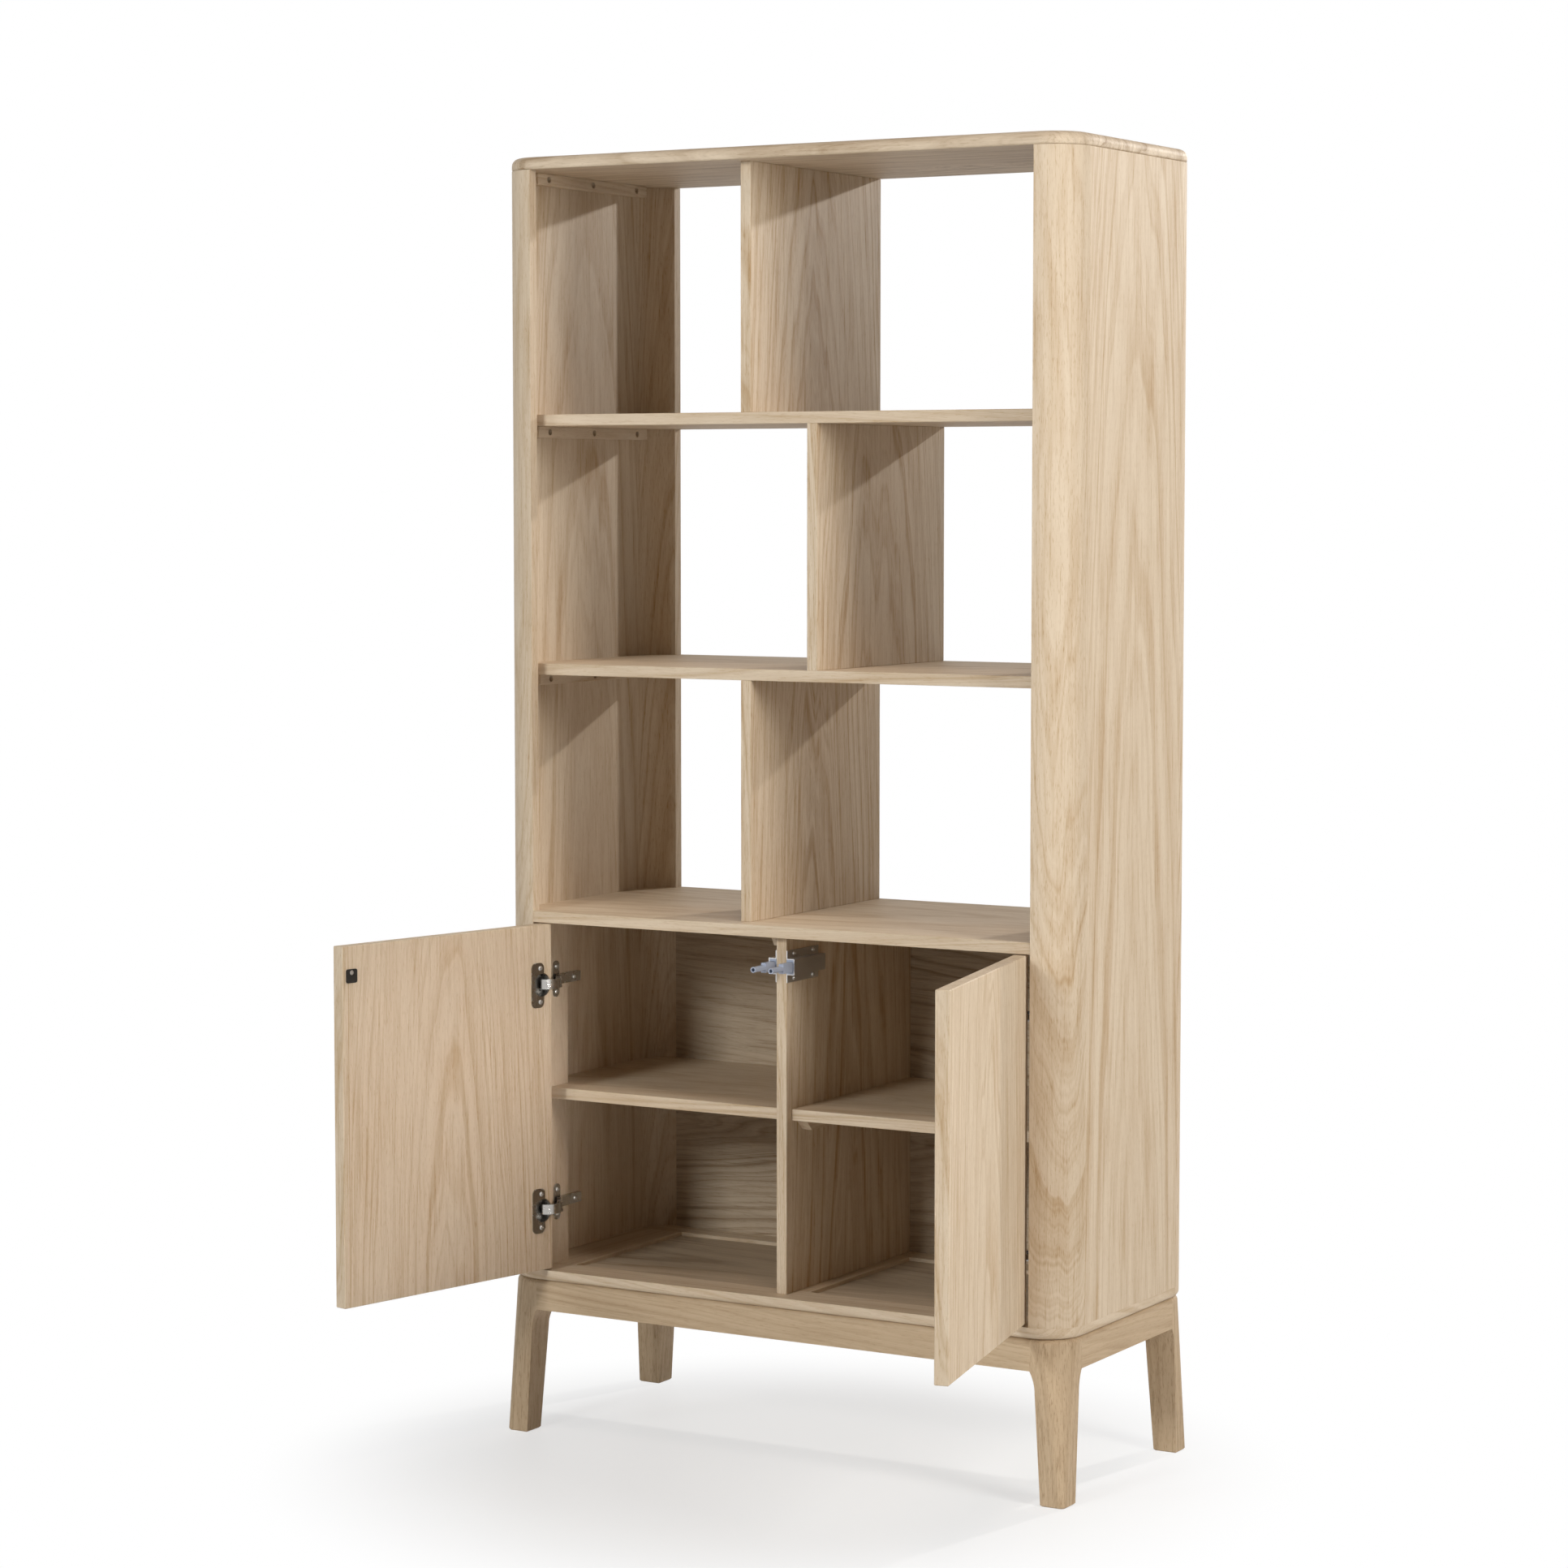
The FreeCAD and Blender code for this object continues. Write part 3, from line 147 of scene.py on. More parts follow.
# %% [markdown]
# ## Oak: the growth rings
# Oak shows growth rings that a flat cut turns into long nested arches. A picture of a board could be
# laid on each piece, but rings made in space run through a piece from face to face, as in real wood.
# The rings are shells round the heart of the tree. The solid coordinates are squeezed along the grain
# and bent a little by noise, and their distance from the heart is fed to a one-dimensional noise.
# That gives rings of uneven width, as good and bad years do. Taper makes the tree thinner towards one
# end. Where a board's face cuts the shells there are arches in its middle and straight lines beside.

# %% Growth rings
GRAIN_AXES = {"X": 0, "Y": 1, "Z": 2}


def by_grain(grain, with_grain, across_grain):
    """Three numbers: one for the axis of the grain, the other for the two axes across it."""
    numbers = [across_grain, across_grain, across_grain]
    numbers[GRAIN_AXES[grain]] = with_grain
    return numbers


def squeezed(tree, places, grain, squeeze):
    """Coordinates with the length along the grain made shorter."""
    scale = by_grain(grain, squeeze, 1.0)
    return add_node(tree, "ShaderNodeMapping", {}, {"Vector": places, "Scale": scale}).outputs["Vector"]


def growth_rings(tree, places, grain, heart, ring, squeeze, taper, bend):
    """Uneven rings round the heart of the tree."""
    shells = squeezed(tree, vector_math(tree, "SUBTRACT", places, heart), grain, squeeze)
    sway = noise(tree, shells, scale=18.0, detail=2.0).outputs["Color"]
    swayed = vector_math(tree, "MULTIPLY_ADD", sway, (bend, bend, bend), shells)
    reach = vector_math(tree, "LENGTH", swayed)
    drift = vector_math(tree, "DOT_PRODUCT", places, by_grain(grain, taper, 0.0))
    age = number_math(tree, "ADD", reach, drift)
    return add_node(tree, "ShaderNodeTexNoise", {"noise_dimensions": "1D"}, {
        "W": age, "Scale": 1.0 / ring, "Detail": 3.0, "Roughness": 0.75,
    }).outputs["Fac"]


print("growth rings can run along", ", ".join(GRAIN_AXES))

# %% [markdown]
# ## Oak: pores, pairs and glued joints
# Between the rings lie fine dark lines and pores that run with the grain, and slow changes of tone.
# All of them are noise drawn out along the grain. Left and right pieces are cut as a matched pair,
# which needs no second finish: the larger of X and -X makes one side the mirror of the other. A strip
# that is glued to a board's edge shows as one thin dark line.

# %% Grain, pairs and joints
JOINT_HALF_WIDTH = 0.0004


def grain_noise(tree, places, grain, squeeze, scale, detail, rough=0.5):
    """Noise drawn out along the grain."""
    return noise(tree, squeezed(tree, places, grain, squeeze), scale, detail, rough).outputs["Fac"]


def folded(tree, places):
    """Coordinates in which the left half is the mirror of the right half."""
    mirrored = vector_math(tree, "MULTIPLY", places, (-1.0, 1.0, 1.0))
    return vector_math(tree, "MAXIMUM", places, mirrored)


def glued_joint(tree, places, direction, offset):
    """1 on the line of a joint that lies this far out in a direction, and 0 elsewhere."""
    across = vector_math(tree, "DOT_PRODUCT", places, direction)
    return number_math(tree, "COMPARE", across, offset, JOINT_HALF_WIDTH)


print("a glued joint is %.4f m wide" % (2 * JOINT_HALF_WIDTH))

# %% [markdown]
# ## Oak: the whole finish
# Rings, lines, pores and clouds are each cut off below a level, so that only their dark part counts,
# and added up. The sum blends a pale early wood to a deeper and warmer late wood. Lines and pores also
# sink a little, which a weak bump shows, because real ones are too fine to model.

# %% Oak recipe
PALE = (0.65, 0.532, 0.396)
DEEP = (0.395, 0.250, 0.118)


def oak(name, grain, heart, pale=PALE, deep=DEEP, ring=0.010, squeeze=0.08, taper=0.05, bend=0.03,
        ring_depth=0.6, line_depth=0.25, pore_depth=0.25, cloud_depth=0.25, pair=False, seam=None):
    """One oak finish. Heart is a point of the tree's middle in metres, ring the usual ring width."""
    finish, tree, shader = new_finish(name)
    places = add_node(tree, "ShaderNodeTexCoord").outputs["Object"]
    if pair:
        places = folded(tree, places)
    rings = growth_rings(tree, places, grain, heart, ring, squeeze, taper, bend)
    lines = grain_noise(tree, places, grain, squeeze=0.03, scale=330.0, detail=3.0, rough=0.6)
    pores = grain_noise(tree, places, grain, squeeze=0.10, scale=900.0, detail=2.0)
    cloud = grain_noise(tree, places, grain, squeeze=0.12, scale=45.0, detail=3.0, rough=0.55)
    tone = grain_noise(tree, places, grain, squeeze=0.2, scale=8.0, detail=2.0)
    ring_strength = spread(tree, tone, low=0.32, high=0.66, start=0.35, stop=1.0)
    even_rings = spread(tree, rings, low=0.42, high=0.70, start=0.0, stop=ring_depth)
    ring_mark = number_math(tree, "MULTIPLY", even_rings, ring_strength)
    line_mark = spread(tree, lines, low=0.52, high=0.72, start=0.0, stop=line_depth)
    pore_mark = spread(tree, pores, low=0.56, high=0.70, start=0.0, stop=pore_depth)
    cloud_mark = spread(tree, cloud, low=0.45, high=0.75, start=0.0, stop=cloud_depth)
    long_marks = number_math(tree, "ADD", ring_mark, line_mark)
    short_marks = number_math(tree, "ADD", pore_mark, cloud_mark)
    marks = number_math(tree, "ADD", long_marks, short_marks)
    if seam:
        marks = number_math(tree, "ADD", marks, glued_joint(tree, places, *seam))
    relief = add_node(tree, "ShaderNodeBump", {"invert": True}, {
        "Height": number_math(tree, "ADD", pore_mark, line_mark), "Strength": 0.1, "Distance": 0.0005,
    })
    set_sockets(tree, shader, {
        "Base Color": blend(tree, marks, pale, deep),
        "Roughness": spread(tree, lines, low=0.3, high=0.7, start=0.52, stop=0.66),
        "Specular IOR Level": 0.3,
        "Normal": relief.outputs["Normal"],
    })
    return finish


print("pale and deep oak:", PALE, DEEP)

# %% [markdown]
# ## The open doors
# The doors are the only oak pieces that stand at a slant: at rest each is turned out by the angle of
# its joint. A strip of solid wood is glued to a door's free edge, so the joint line is measured along
# the door, from its outermost corner. The heart of the door's tree lies near the middle of its face.

# %% Measure the right door
DOOR_TURN = math.radians(102.5)
LIPPING_WIDTH = 0.010
DOOR_HEART_SHIFT = 0.06
DOOR_HEART_HEIGHT = 0.62

door_way = Vector((-math.cos(DOOR_TURN), -math.sin(DOOR_TURN), 0.0))
door_edge = max(vert.co.dot(door_way) for vert in bpy.data.objects["right_door"].data.vertices)
lipping = (door_way, door_edge - LIPPING_WIDTH)
door_low, door_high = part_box("right_door")
door_heart = (
    (door_low.x + door_high.x) / 2 - DOOR_HEART_SHIFT,
    (door_low.y + door_high.y) / 2,
    DOOR_HEART_HEIGHT,
)
print("the right door's free edge is %.4f m out along the door" % door_edge)

# %% [markdown]
# ## One oak finish for each way a board lies
# A maker lets the grain run with the length of each piece: up the posts, sides, doors and legs,
# across the shelves and front rails, and front to back on the side rails and battens. Each slot of
# the record is one such kind of piece, so each gets its own oak, cut from its own place in the tree.
# The posts are solid wood whose heart lies just behind the face, and they taper the other way: their
# rings run straight at the top and close to arches in the middle and at the bottom. The base is a warmer
# oak than the case, and the thin panels are a darker veneer. On the back panel, which stands in the shade
# of the compartments, that darker tone is also painted shade.

# %% Oak for every kind of piece
WARM_PALE = (0.54, 0.405, 0.265)
WARM_DEEP = (0.31, 0.205, 0.110)
WARM_OAK = {"pale": WARM_PALE, "deep": WARM_DEEP}
# A darker veneer tone for the thin panels; on the back panel it is also painted shade for the inside of
# the case.
VENEER_AND_PAINTED_SHADE = {"pale": (0.52, 0.415, 0.300), "deep": (0.28, 0.195, 0.118)}


def at(x, y, z):
    """A point whose Y counts from the middle of the case's depth."""
    return (x, case_middle + y, z)


oak_kinds = {
    "oak_side": dict(
        grain="Z", heart=at(0.35, 0.02, 1.30), ring=0.014, taper=0.06, ring_depth=0.5, line_depth=0.35,
        pore_depth=0.3, cloud_depth=0.3, pair=True,
    ),
    "oak_post": dict(
        grain="Z", heart=at(0.43, -0.15, 0.90), ring=0.009, squeeze=0.1, taper=-0.10, line_depth=0.35,
        pore_depth=0.4, pair=True,
    ),
    "oak_top": dict(
        grain="X", heart=at(0.1, 0.1, 1.78), deep=WARM_DEEP, squeeze=0.15, taper=0.1, bend=0.05,
        line_depth=0.3, pore_depth=0.3, cloud_depth=0.5,
    ),
    "oak_shelf": dict(grain="X", heart=at(0.2, 0.05, 1.28)),
    "oak_divider": dict(
        grain="Z", heart=at(-0.14, 0.02, 1.15), ring=0.008, ring_depth=0.8, line_depth=0.5,
        pore_depth=0.35,
    ),
    # The back panel's darker veneer tone is partly painted shade for the inside of the compartments.
    "oak_back": dict(
        grain="X", heart=at(-0.1, 0.26, 0.45), squeeze=0.1, taper=0.08, bend=0.05, ring_depth=0.9,
        line_depth=0.45, **VENEER_AND_PAINTED_SHADE,
    ),
    "oak_door": dict(
        grain="Z", heart=door_heart, ring=0.007, squeeze=0.1, ring_depth=0.55, line_depth=0.4,
        pore_depth=0.35, pair=True, seam=lipping,
    ),
    "oak_floor_across": dict(grain="X", heart=at(0.0, -0.1, 0.2)),
    "oak_floor_along": dict(grain="Y", heart=at(0.3, 0.0, 0.2)),
    "oak_floor_panel": dict(grain="X", heart=at(0.1, 0.0, 0.1), **VENEER_AND_PAINTED_SHADE),
    "oak_batten": dict(grain="Y", heart=at(0.3, 0.0, 1.2)),
    "oak_strip": dict(grain="Z", heart=at(0.3, -0.1, 0.5)),
    "oak_leg": dict(
        grain="Z", heart=at(0.40, -0.1, 0.2), ring=0.008, squeeze=0.1, taper=0.06, ring_depth=0.7,
        line_depth=0.5, pore_depth=0.6, **WARM_OAK,
    ),
    "oak_base_across": dict(grain="X", heart=at(0.0, -0.12, 0.15), **WARM_OAK),
    "oak_base_along": dict(grain="Y", heart=at(0.38, 0.0, 0.15), **WARM_OAK),
}
oak_finishes = {name: oak(name, **recipe) for name, recipe in oak_kinds.items()}
print("oak finishes:", len(oak_finishes))

# %% [markdown]
# ## Metal and plastic
# The hinges are nickel plated: a bright, slightly soft mirror with broad, faint clouds from the plating
# bath. The latch brackets are rolled zinc sheet with faint lines along the roll. The latch itself is a
# blue-grey moulding, and the strike plates are black. One flat colour would do from afar, but a little
# noise in tint, shine and relief keeps the small parts real in a close view.

# %% Hardware finishes
PLATING_CLOUDS = (60.0, 60.0, 60.0)
ROLLED_LINES = (900.0, 25.0, 900.0)
CLOUD_DARKENING = 0.94
SMOOTHER = 0.03
DULLER = 0.04
MOULD_DARKENING = 0.9
MOULD_LIGHTENING = 1.08


def plated(name, colour, rough, pattern=PLATING_CLOUDS):
    """Plated metal. The pattern says how fine its noise is along each axis."""
    finish, tree, shader = new_finish(name)
    places = add_node(tree, "ShaderNodeTexCoord").outputs["Object"]
    stretched = add_node(tree, "ShaderNodeMapping", {}, {"Vector": places, "Scale": pattern})
    cloud = noise(tree, stretched.outputs["Vector"], scale=1.0, detail=3.0).outputs["Fac"]
    darker = [part * CLOUD_DARKENING for part in colour]
    set_sockets(tree, shader, {
        "Base Color": blend(tree, cloud, darker, colour),
        "Roughness": spread(tree, cloud, low=0.3, high=0.7, start=rough - SMOOTHER, stop=rough + DULLER),
        "Metallic": 1.0,
    })
    return finish


def moulded(name, colour, rough):
    """Moulded plastic with the fine grain of its mould."""
    finish, tree, shader = new_finish(name)
    places = add_node(tree, "ShaderNodeTexCoord").outputs["Object"]
    grain = noise(tree, places, scale=1400.0, detail=2.0).outputs["Fac"]
    darker = [part * MOULD_DARKENING for part in colour]
    lighter = [part * MOULD_LIGHTENING for part in colour]
    relief = add_node(tree, "ShaderNodeBump", {}, {"Height": grain, "Strength": 0.08, "Distance": 0.0003})
    set_sockets(tree, shader, {
        "Base Color": blend(tree, grain, darker, lighter),
        "Roughness": rough,
        "Normal": relief.outputs["Normal"],
    })
    return finish


hardware_finishes = {
    "hinge_steel": plated("hinge_steel", (0.46, 0.445, 0.42), rough=0.26),
    "screw_steel": plated("screw_steel", (0.66, 0.64, 0.61), rough=0.30),
    "bracket_steel": plated("bracket_steel", (0.62, 0.62, 0.62), rough=0.34, pattern=ROLLED_LINES),
    "latch_plastic": moulded("latch_plastic", (0.36, 0.40, 0.50), rough=0.38),
    "strike_black": moulded("strike_black", (0.018, 0.017, 0.016), rough=0.32),
}
print("hardware finishes:", ", ".join(hardware_finishes))

# %% [markdown]
# ## Give every CAD piece its finish
# The record says which slot each node takes its finish from. Going through that list means no piece
# is forgotten, and a new piece with a known slot needs no new line here.

# %% Assign finishes
finishes = {**oak_finishes, **hardware_finishes}
node_slots = {entry["node"]: entry["material_slot"] for entry in frame["record"]["subparts"]}
for node, slot_name in node_slots.items():
    piece = bpy.data.objects[node]
    piece.data.materials.clear()
    piece.data.materials.append(finishes[slot_name])
print("finished nodes:", len(node_slots))

# %% [markdown]
# ## Cross-head screws: the cross
# A small screw is pressed from wire: a low pan head with a bevelled rim, a cross punched into it and a
# shank below. The frame's screws are plain, so each is made again in its own place. The cross could be
# cut by a Boolean modifier, but planes leave a cleaner mesh: a disc is cut by pairs of planes, and the
# cells of the cross are pushed down.

# %% Punch the cross
HEAD_RADIUS = 0.0034
HEAD_HEIGHT = 0.0016
HEAD_SIDES = 32
BEVEL_SHARE = 0.45
PUNCH_SHARE = 0.6
CROSS_HALF_WIDTH = 0.00055
CROSS_REACH = 0.0020


def new_verts(made):
    """The corner points among what an operator has made."""
    return [part for part in made["geom"] if isinstance(part, bmesh.types.BMVert)]


def punched_disc(height):
    """The top of a screw head with its cross, and the edges of its rim."""
    disc = bmesh.new()
    radius = HEAD_RADIUS - height * BEVEL_SHARE
    bmesh.ops.create_circle(disc, cap_ends=True, radius=radius, segments=HEAD_SIDES)
    for axis in (Vector((1.0, 0.0, 0.0)), Vector((0.0, 1.0, 0.0))):
        for offset in (-CROSS_REACH, -CROSS_HALF_WIDTH, CROSS_HALF_WIDTH, CROSS_REACH):
            everything = disc.verts[:] + disc.edges[:] + disc.faces[:]
            bmesh.ops.bisect_plane(disc, geom=everything, plane_co=axis * offset, plane_no=axis)
    rim = [edge for edge in disc.edges if edge.is_boundary]
    cross = []
    for face in disc.faces:
        middle = face.calc_center_median()
        thin, wide = sorted((abs(middle.x), abs(middle.y)))
        if thin < CROSS_HALF_WIDTH and wide < CROSS_REACH:
            cross.append(face)
    punched = bmesh.ops.extrude_face_region(disc, geom=cross)
    bmesh.ops.translate(disc, verts=new_verts(punched), vec=(0.0, 0.0, -height * PUNCH_SHARE))
    bmesh.ops.delete(disc, geom=[face for face in cross if face.is_valid], context="FACES_ONLY")
    return disc, rim


sample, sample_rim = punched_disc(HEAD_HEIGHT)
print("a punched head has", len(sample.faces), "faces and", len(sample_rim), "edges in its rim")
sample.free()

# %% [markdown]
# ## Cross-head screws: head and shank
# The rim of the disc is pulled out and down, ring by ring: over the bevel, down the side of the head,
# in under it and down the shank. Extruded edges stay joined to the ring before, so the screw is one
# closed skin. It is then turned and put in its place, and many screws share one mesh.

# %% One screw
SHANK_RADIUS = 0.0015
SHANK_LENGTH = 0.006


def pull_down(screw, rim, height):
    """Pull the rim through the rings of the screw's outline and close its end."""
    bevel = height * BEVEL_SHARE
    outline = (
        (HEAD_RADIUS - bevel, 0.0),
        (HEAD_RADIUS, bevel),
        (HEAD_RADIUS, height),
        (SHANK_RADIUS, height),
        (SHANK_RADIUS, height + SHANK_LENGTH),
    )
    for (radius, depth), (next_radius, next_depth) in zip(outline, outline[1:]):
        made = bmesh.ops.extrude_edge_only(screw, edges=rim)
        ring_verts = new_verts(made)
        rim = [part for part in made["geom"] if isinstance(part, bmesh.types.BMEdge) and part.is_boundary]
        growth = next_radius / radius
        bmesh.ops.scale(screw, verts=ring_verts, vec=(growth, growth, 1.0))
        bmesh.ops.translate(screw, verts=ring_verts, vec=(0.0, 0.0, depth - next_depth))
    bmesh.ops.contextual_create(screw, geom=rim)
    bmesh.ops.recalc_face_normals(screw, faces=screw.faces)


def add_screw(metal, top, direction, height, turn):
    """Add one screw to a bmesh. Top is the middle of its head, direction points out of the wood."""
    screw, rim = punched_disc(height)
    pull_down(screw, rim, height)
    facing = direction.to_track_quat("Z", "Y").to_matrix().to_4x4()
    screw.transform(Matrix.Translation(top) @ facing @ Matrix.Rotation(turn, 4, "Z"))
    one_mesh = bpy.data.meshes.new("one_screw")
    screw.to_mesh(one_mesh)
    screw.free()
    metal.from_mesh(one_mesh)
    bpy.data.meshes.remove(one_mesh)


print("a screw is %.4f m long" % (HEAD_HEIGHT + SHANK_LENGTH))

# %% [markdown]
# ## Where the screws sit
# The frame's plain screws already say where each head is. The corners of each separate solid are
# gathered, and those that lie farthest out along the screw's direction are the top of its head. The
# heads of the door screws look out of the door's inner face, those of the case look to the middle of
# their compartment.

# %% Read the plain screws
MERGE_REACH = 0.000001
FLAT_REACH = 0.00002
DIVIDER_REACH = 0.1


def separate_solids(node):
    """Corner points of each separate solid in a node, in the order of its mesh."""
    part = bpy.data.objects[node]
    joined = bmesh.new()
    joined.from_mesh(part.data)
    bmesh.ops.remove_doubles(joined, verts=joined.verts, dist=MERGE_REACH)
    waiting = set(joined.verts)
    solids = []
    for first in joined.verts:
        if first not in waiting:
            continue
        waiting.remove(first)
        reached = [first]
        for vert in reached:
            for edge in vert.link_edges:
                other = edge.other_vert(vert)
                if other in waiting:
                    waiting.remove(other)
                    reached.append(other)
        solids.append([part.matrix_world @ vert.co for vert in reached])
    joined.free()
    return solids


def head_top(points, direction):
    """Middle of the outermost flat ring of points."""
    outermost = max(point.dot(direction) for point in points)
    ring = [point for point in points if point.dot(direction) > outermost - FLAT_REACH]
    return sum(ring, Vector()) / len(ring)


def case_direction(points):
    """Screws on the divider look away from the case's middle, those on the walls look towards it."""
    across = sum(point.x for point in points) / len(points)
    side = math.copysign(1.0, across)
    if abs(across) < DIVIDER_REACH:
        return Vector((side, 0.0, 0.0))
    return Vector((-side, 0.0, 0.0))


for node in ("left_door_screws", "right_door_screws", "case_screws"):
    print("plain screws in", node + ":", len(separate_solids(node)))

# %% [markdown]
# ## Put the screws in
# No maker lines the crosses up, so each screw is turned further than the one before. All the screws of
# a door are one piece that rides on that door, and those of the case are another; each such piece
# replaces the frame's plain screws. The strike's screw has a flatter head, because it lies flush in
# its plate near the top of the door.

# %% Make the screws
STRIKE_HEAD_HEIGHT = 0.0010
STRIKE_LEVEL = 0.685
DOOR_SCREW_TURN = 0.9
CASE_SCREW_TURN = 0.7


def new_piece(name, mesh, slot_name, body):
    """Turn a bmesh into a named piece that rides on a body."""
    data = bpy.data.meshes.new(name)
    mesh.to_mesh(data)
    mesh.free()
    data.materials.append(finishes[slot_name])
    piece = bpy.data.objects.new(name, data)
    bpy.context.scene.collection.objects.link(piece)
    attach(piece, body)
    print(name, "faces:", len(data.polygons))
    return piece


for side_name, side in (("left", -1.0), ("right", 1.0)):
    inward = Vector((-side * math.sin(DOOR_TURN), math.cos(DOOR_TURN), 0.0))
    metal = bmesh.new()
    for count, points in enumerate(separate_solids(side_name + "_door_screws")):
        top = head_top(points, inward)
        height = STRIKE_HEAD_HEIGHT if top.z > STRIKE_LEVEL else HEAD_HEIGHT
        add_screw(metal, top, inward, height, DOOR_SCREW_TURN * count)
    screws = new_piece(side_name + "_door_cross_screws", metal, "screw_steel", side_name + "_door")
    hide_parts(side_name + "_door_screws")

metal = bmesh.new()
for count, points in enumerate(separate_solids("case_screws")):
    direction = case_direction(points)
    add_screw(metal, head_top(points, direction), direction, HEAD_HEIGHT, CASE_SCREW_TURN * count)
screws = new_piece("case_cross_screws", metal, "screw_steel", "case")
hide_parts("case_screws")

# %% [markdown]
# ## Batten screws
# The battens that carry the shelves are screwed to the sides. Each recess in a batten holds one screw,
# set deep, so that little of it shows in the dark hole. The same screw is used again, and its place is
# counted from the batten's inner face.

# %% Screws in the batten recesses
RECESS_DEPTH = 0.0075
RECESS_SPACING = 0.116
BATTEN_SCREW_TURN = 0.8

metal = bmesh.new()
for node in ("top_battens", "upper_shelf_battens", "lower_shelf_battens"):
    batten_low, batten_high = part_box(node)
    face_x = min(abs(point.x) for points in separate_solids(node) for point in points)
    print("inner faces of %s are %.4f m from the middle" % (node, face_x))
    screw_z = (batten_low.z + batten_high.z) / 2
    for side in (-1.0, 1.0):
        for count, recess_y in enumerate((-RECESS_SPACING, 0.0, RECESS_SPACING)):
            top = Vector((side * (face_x + RECESS_DEPTH), case_middle + recess_y, screw_z))
            add_screw(metal, top, Vector((-side, 0.0, 0.0)), HEAD_HEIGHT, BATTEN_SCREW_TURN * count)
new_piece("batten_screws", metal, "screw_steel", "case")

# %% [markdown]
# ## The floor's finish
# The bookcase stands on a pale studio floor that runs out to white. A real studio bends a paper sheet
# up behind the object. Here one large square is enough, because its finish does the rest: near the
# feet the floor is partly a matt surface, so that it takes soft shadows, and further out it is plain
# white for what the camera, a mirror or a pane would see. Light that bounces meets a matt floor
# everywhere.

# %% Floor finish
FLOOR_GREY = (0.86, 0.86, 0.86, 1.0)
FADE_START = 0.35
FADE_END = 0.75
WHITE_AT_FEET = 0.58
PLAIN_WHITE = (1.0, 1.0, 1.0, 1.0)


def seen_directly(tree):
    """1 for what the camera, a mirror or a pane sees, and 0 for light that bounces."""
    path = add_node(tree, "ShaderNodeLightPath").outputs
    camera_or_mirror = number_math(tree, "MAXIMUM", path["Is Camera Ray"], path["Is Glossy Ray"])
    return number_math(tree, "MAXIMUM", camera_or_mirror, path["Is Transmission Ray"])


floor_finish, floor_tree, floor_shader = new_finish("studio_floor")
set_sockets(floor_tree, floor_shader, {"Base Color": FLOOR_GREY, "Roughness": 0.55})
floor_places = add_node(floor_tree, "ShaderNodeTexCoord").outputs["Object"]
from_origin = vector_math(floor_tree, "LENGTH", floor_places)
fade = add_node(floor_tree, "ShaderNodeMapRange", {"interpolation_type": "SMOOTHSTEP"}, {
    "Value": from_origin, "From Min": FADE_START, "From Max": FADE_END,
    "To Min": WHITE_AT_FEET, "To Max": 1.0,
})
white_share = number_math(floor_tree, "MULTIPLY", fade.outputs["Result"], seen_directly(floor_tree))
white_glow = add_node(floor_tree, "ShaderNodeEmission", {}, {"Color": PLAIN_WHITE, "Strength": 1.0})
floor_mix = add_node(floor_tree, "ShaderNodeMixShader", {}, {
    0: white_share, 1: floor_shader.outputs["BSDF"], 2: white_glow.outputs["Emission"],
})
floor_output = next(node for node in floor_tree.nodes if node.type == "OUTPUT_MATERIAL")
set_sockets(floor_tree, floor_output, {"Surface": floor_mix.outputs["Shader"]})
print("the floor is plain white from %.2f m on" % FADE_END)

# %% [markdown]
# ## Lay the floor
# The floor is one flat square, level with the feet and far larger than the view, so that no edge of it
# shows.

# %% Floor
FLOOR_REACH = 14.0

floor_mesh = bmesh.new()
bmesh.ops.create_grid(floor_mesh, x_segments=1, y_segments=1, size=FLOOR_REACH)
floor_data = bpy.data.meshes.new("studio_floor")
floor_mesh.to_mesh(floor_data)
floor_mesh.free()
floor_data.materials.append(floor_finish)
studio_floor = bpy.data.objects.new("studio_floor", floor_data)
bpy.context.scene.collection.objects.link(studio_floor)
print("the floor is %.0f m wide" % (2 * FLOOR_REACH))

# %% [markdown]
# ## Soft boxes
# A soft box is a lamp behind a flat white cloth, and Blender's area lamp works like one: the larger
# its rectangle, the softer the edge of a shade. It could be turned by angles, but it is easier to say
# where it stands and what it looks at. Most places are given as a photographer would give them: how
# far round, how high and how far away.

# %% Soft box helpers
HEART_HEIGHT = 0.95


def soft_box(name, place, aim, width, height, power, colour=(1.0, 1.0, 1.0), beam=180.0):
    """A flat lamp that looks at a point; beam is the full angle of its light in degrees."""
    lamp = bpy.data.lights.new(name, "AREA")
    lamp.shape = "RECTANGLE"
    lamp.size = width
    lamp.size_y = height
    lamp.energy = power
    lamp.color = colour
    lamp.spread = math.radians(beam)
    holder = bpy.data.objects.new(name, lamp)
    holder.location = place
    holder.rotation_euler = (Vector(aim) - Vector(place)).to_track_quat("-Z", "Y").to_euler()
    bpy.context.scene.collection.objects.link(holder)
    print("%s: %.2f W" % (name, power))


def on_sphere(azimuth, elevation, distance, height=HEART_HEIGHT):
    """A place seen from this height on the case's middle line; azimuth runs from +X to the front."""
    flat = distance * math.cos(math.radians(elevation))
    return (
        flat * math.cos(math.radians(azimuth)),
        case_middle - flat * math.sin(math.radians(azimuth)),
        height + distance * math.sin(math.radians(elevation)),
    )


case_heart = at(0.0, 0.0, HEART_HEIGHT)
print("the heart of the case is at", [round(number, 3) for number in case_heart])

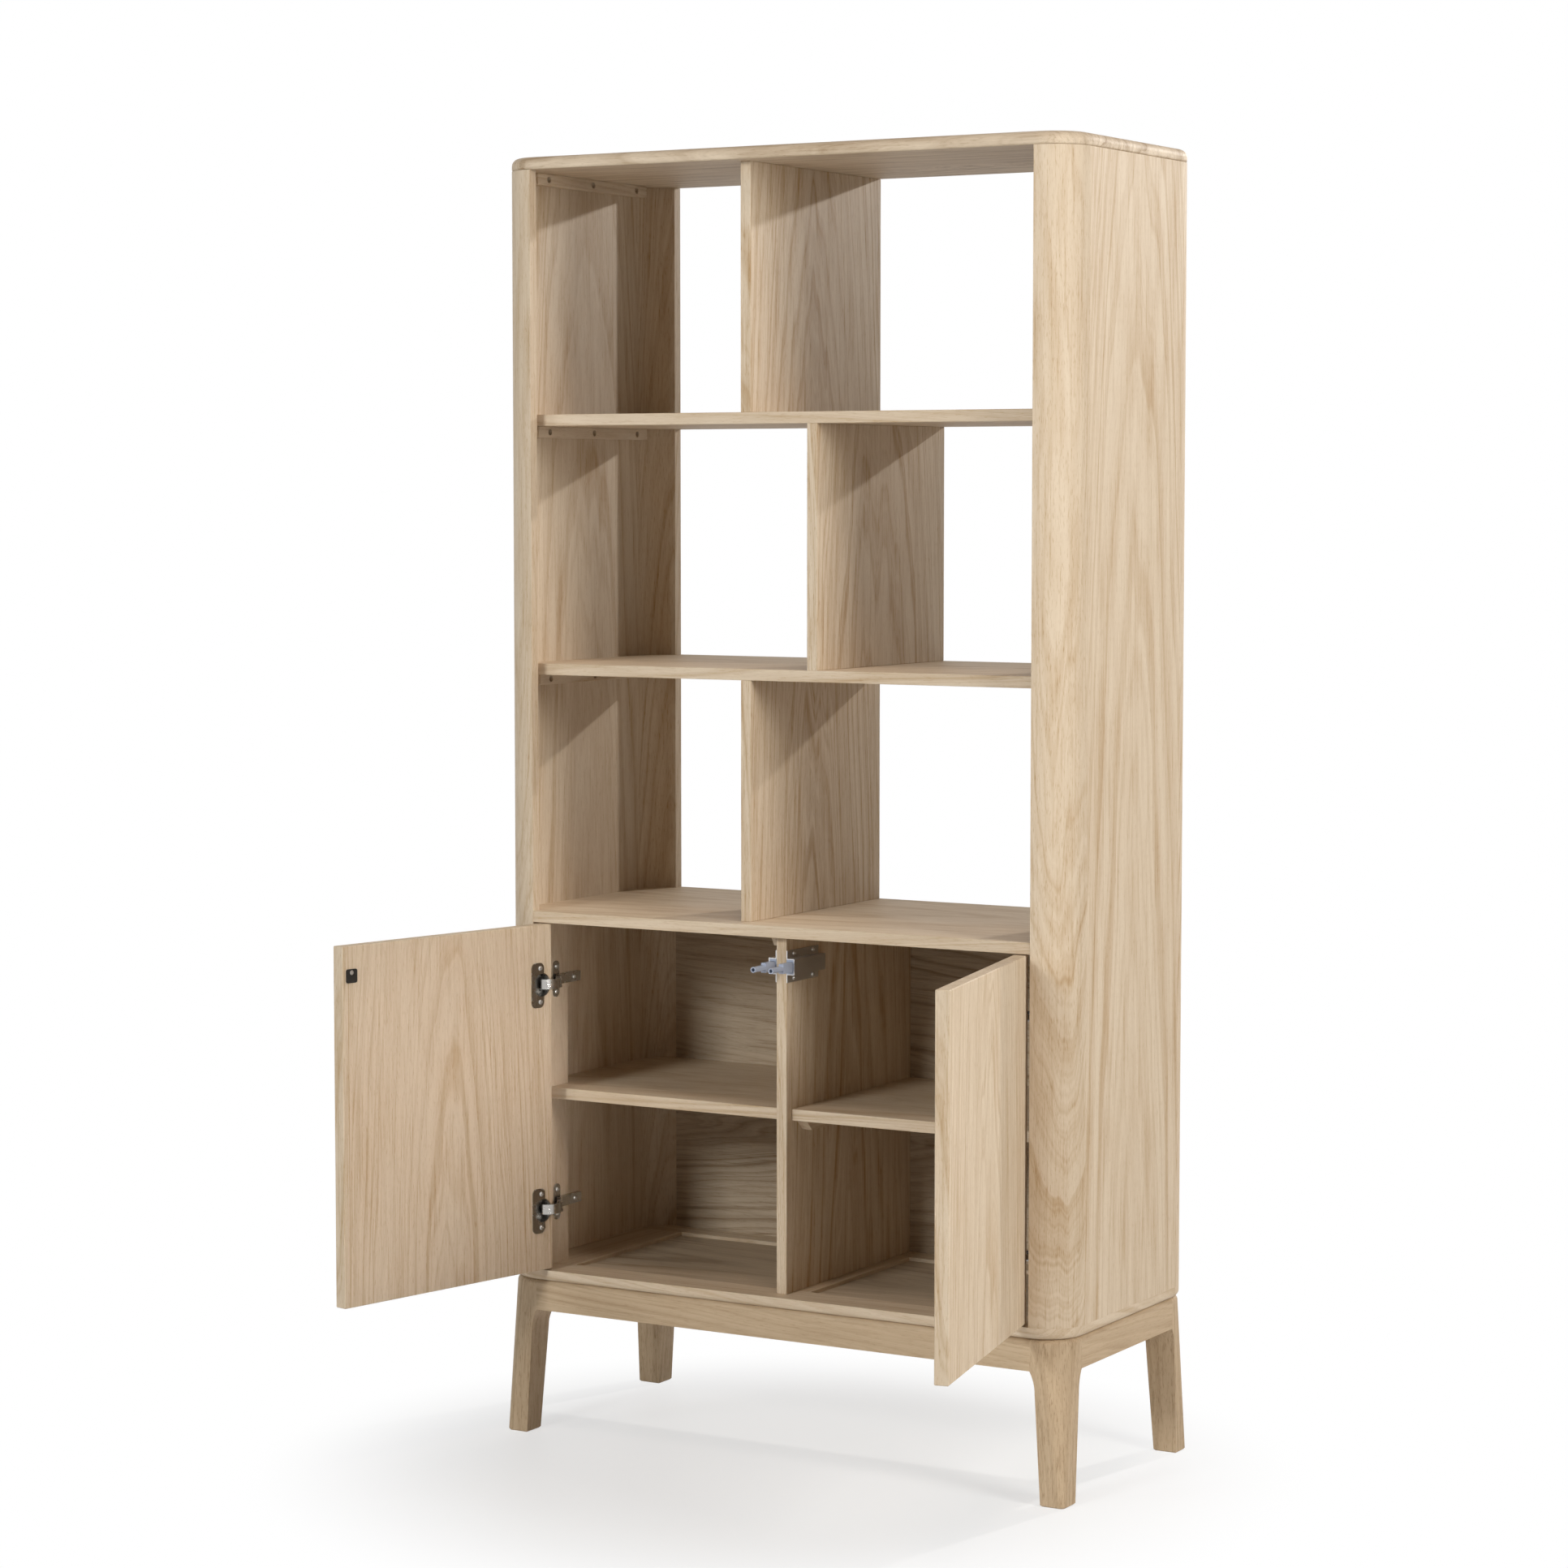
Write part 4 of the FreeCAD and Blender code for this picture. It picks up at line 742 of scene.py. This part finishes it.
# %% [markdown]
# ## Six lamps
# The key, a soft box at the right and only a little in front, gives the side and the front strips of
# the dividers their pale tone. A box in front lights the edges and shines into the cabinet, under its
# top. Two weaker boxes fill from the left and from high up. A small lamp behind the case, to the right,
# shines through the open back: it draws the slanted shade lines under the shelves. A box with a grid,
# which holds its light in a narrow beam, lifts the open left door.

# %% Set up the lamps
DOOR_LIGHT_BASE = 0.5

soft_box("key_light", at(3.2, -0.92, 2.0), case_heart,
         width=1.0, height=1.2, power=69.0, colour=(1.0, 0.99, 0.96))
soft_box("front_light", on_sphere(azimuth=98.0, elevation=16.4, distance=6.0), case_heart,
         width=1.2, height=1.2, power=148.0, colour=(0.95, 0.99, 1.0))
soft_box("left_light", on_sphere(azimuth=125.0, elevation=12.0, distance=6.0), case_heart,
         width=1.5, height=1.5, power=40.0)
soft_box("high_light", on_sphere(azimuth=55.0, elevation=62.0, distance=4.0), case_heart,
         width=0.8, height=0.8, power=24.0, colour=(1.0, 0.82, 0.70))
soft_box("back_light", at(1.25, 4.15, 2.79), case_heart,
         width=0.12, height=0.12, power=98.0, colour=(1.0, 0.97, 0.93))

left_door_low, left_door_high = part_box("left_door")
left_door_heart = (left_door_low + left_door_high) / 2
door_light_place = on_sphere(azimuth=38.0, elevation=3.0, distance=5.0, height=DOOR_LIGHT_BASE)
soft_box("door_light", door_light_place, left_door_heart, width=0.4, height=0.4, power=0.17, beam=9.0)

# %% [markdown]
# ## World
# The world is white for the camera and in mirrors, so that the object stands free, as on studio paper.
# It gives hardly any light of its own, because light from all sides would wash out the shade in the
# compartments.

# %% Backdrop
SKY_FILL = 0.01

world = bpy.data.worlds.new("studio")
bpy.context.scene.world = world
world.use_nodes = True
sky = world.node_tree
sky.nodes.clear()
sky_fill = add_node(sky, "ShaderNodeBackground", {}, {"Color": PLAIN_WHITE, "Strength": SKY_FILL})
sky_white = add_node(sky, "ShaderNodeBackground", {}, {"Color": PLAIN_WHITE, "Strength": 1.0})
sky_mix = add_node(sky, "ShaderNodeMixShader", {}, {
    0: seen_directly(sky), 1: sky_fill.outputs["Background"], 2: sky_white.outputs["Background"],
})
add_node(sky, "ShaderNodeOutputWorld", {}, {"Surface": sky_mix.outputs["Shader"]})
print("the world's own light is %.2f of plain white" % SKY_FILL)

# %% [markdown]
# ## Camera
# The view was solved from the straight edges of the case: a long lens from the front right, a little
# above the middle, looking slightly down. The numbers are the solved place, lens and turns.

# %% Camera
CAMERA_PLACE = at(2.7075, -4.8033, 1.3453)
LENS = 90.08
SENSOR_WIDTH = 36.0
LOOK_DOWN = 4.24
LOOK_LEFT = 30.29

view = bpy.data.cameras.new("front_right_view")
view.sensor_width = SENSOR_WIDTH
view.sensor_fit = "HORIZONTAL"
view.lens = LENS
view.clip_end = 100.0
camera = bpy.data.objects.new("front_right_view", view)
camera.location = CAMERA_PLACE
camera.rotation_euler = (math.radians(90.0 - LOOK_DOWN), 0.0, math.radians(LOOK_LEFT))
bpy.context.scene.collection.objects.link(camera)
bpy.context.scene.camera = camera
bpy.context.scene.view_settings.view_transform = "Standard"
camera_reach = (Vector(CAMERA_PLACE) - Vector(case_heart)).length
print("the camera stands %.2f m from the case's heart" % camera_reach)
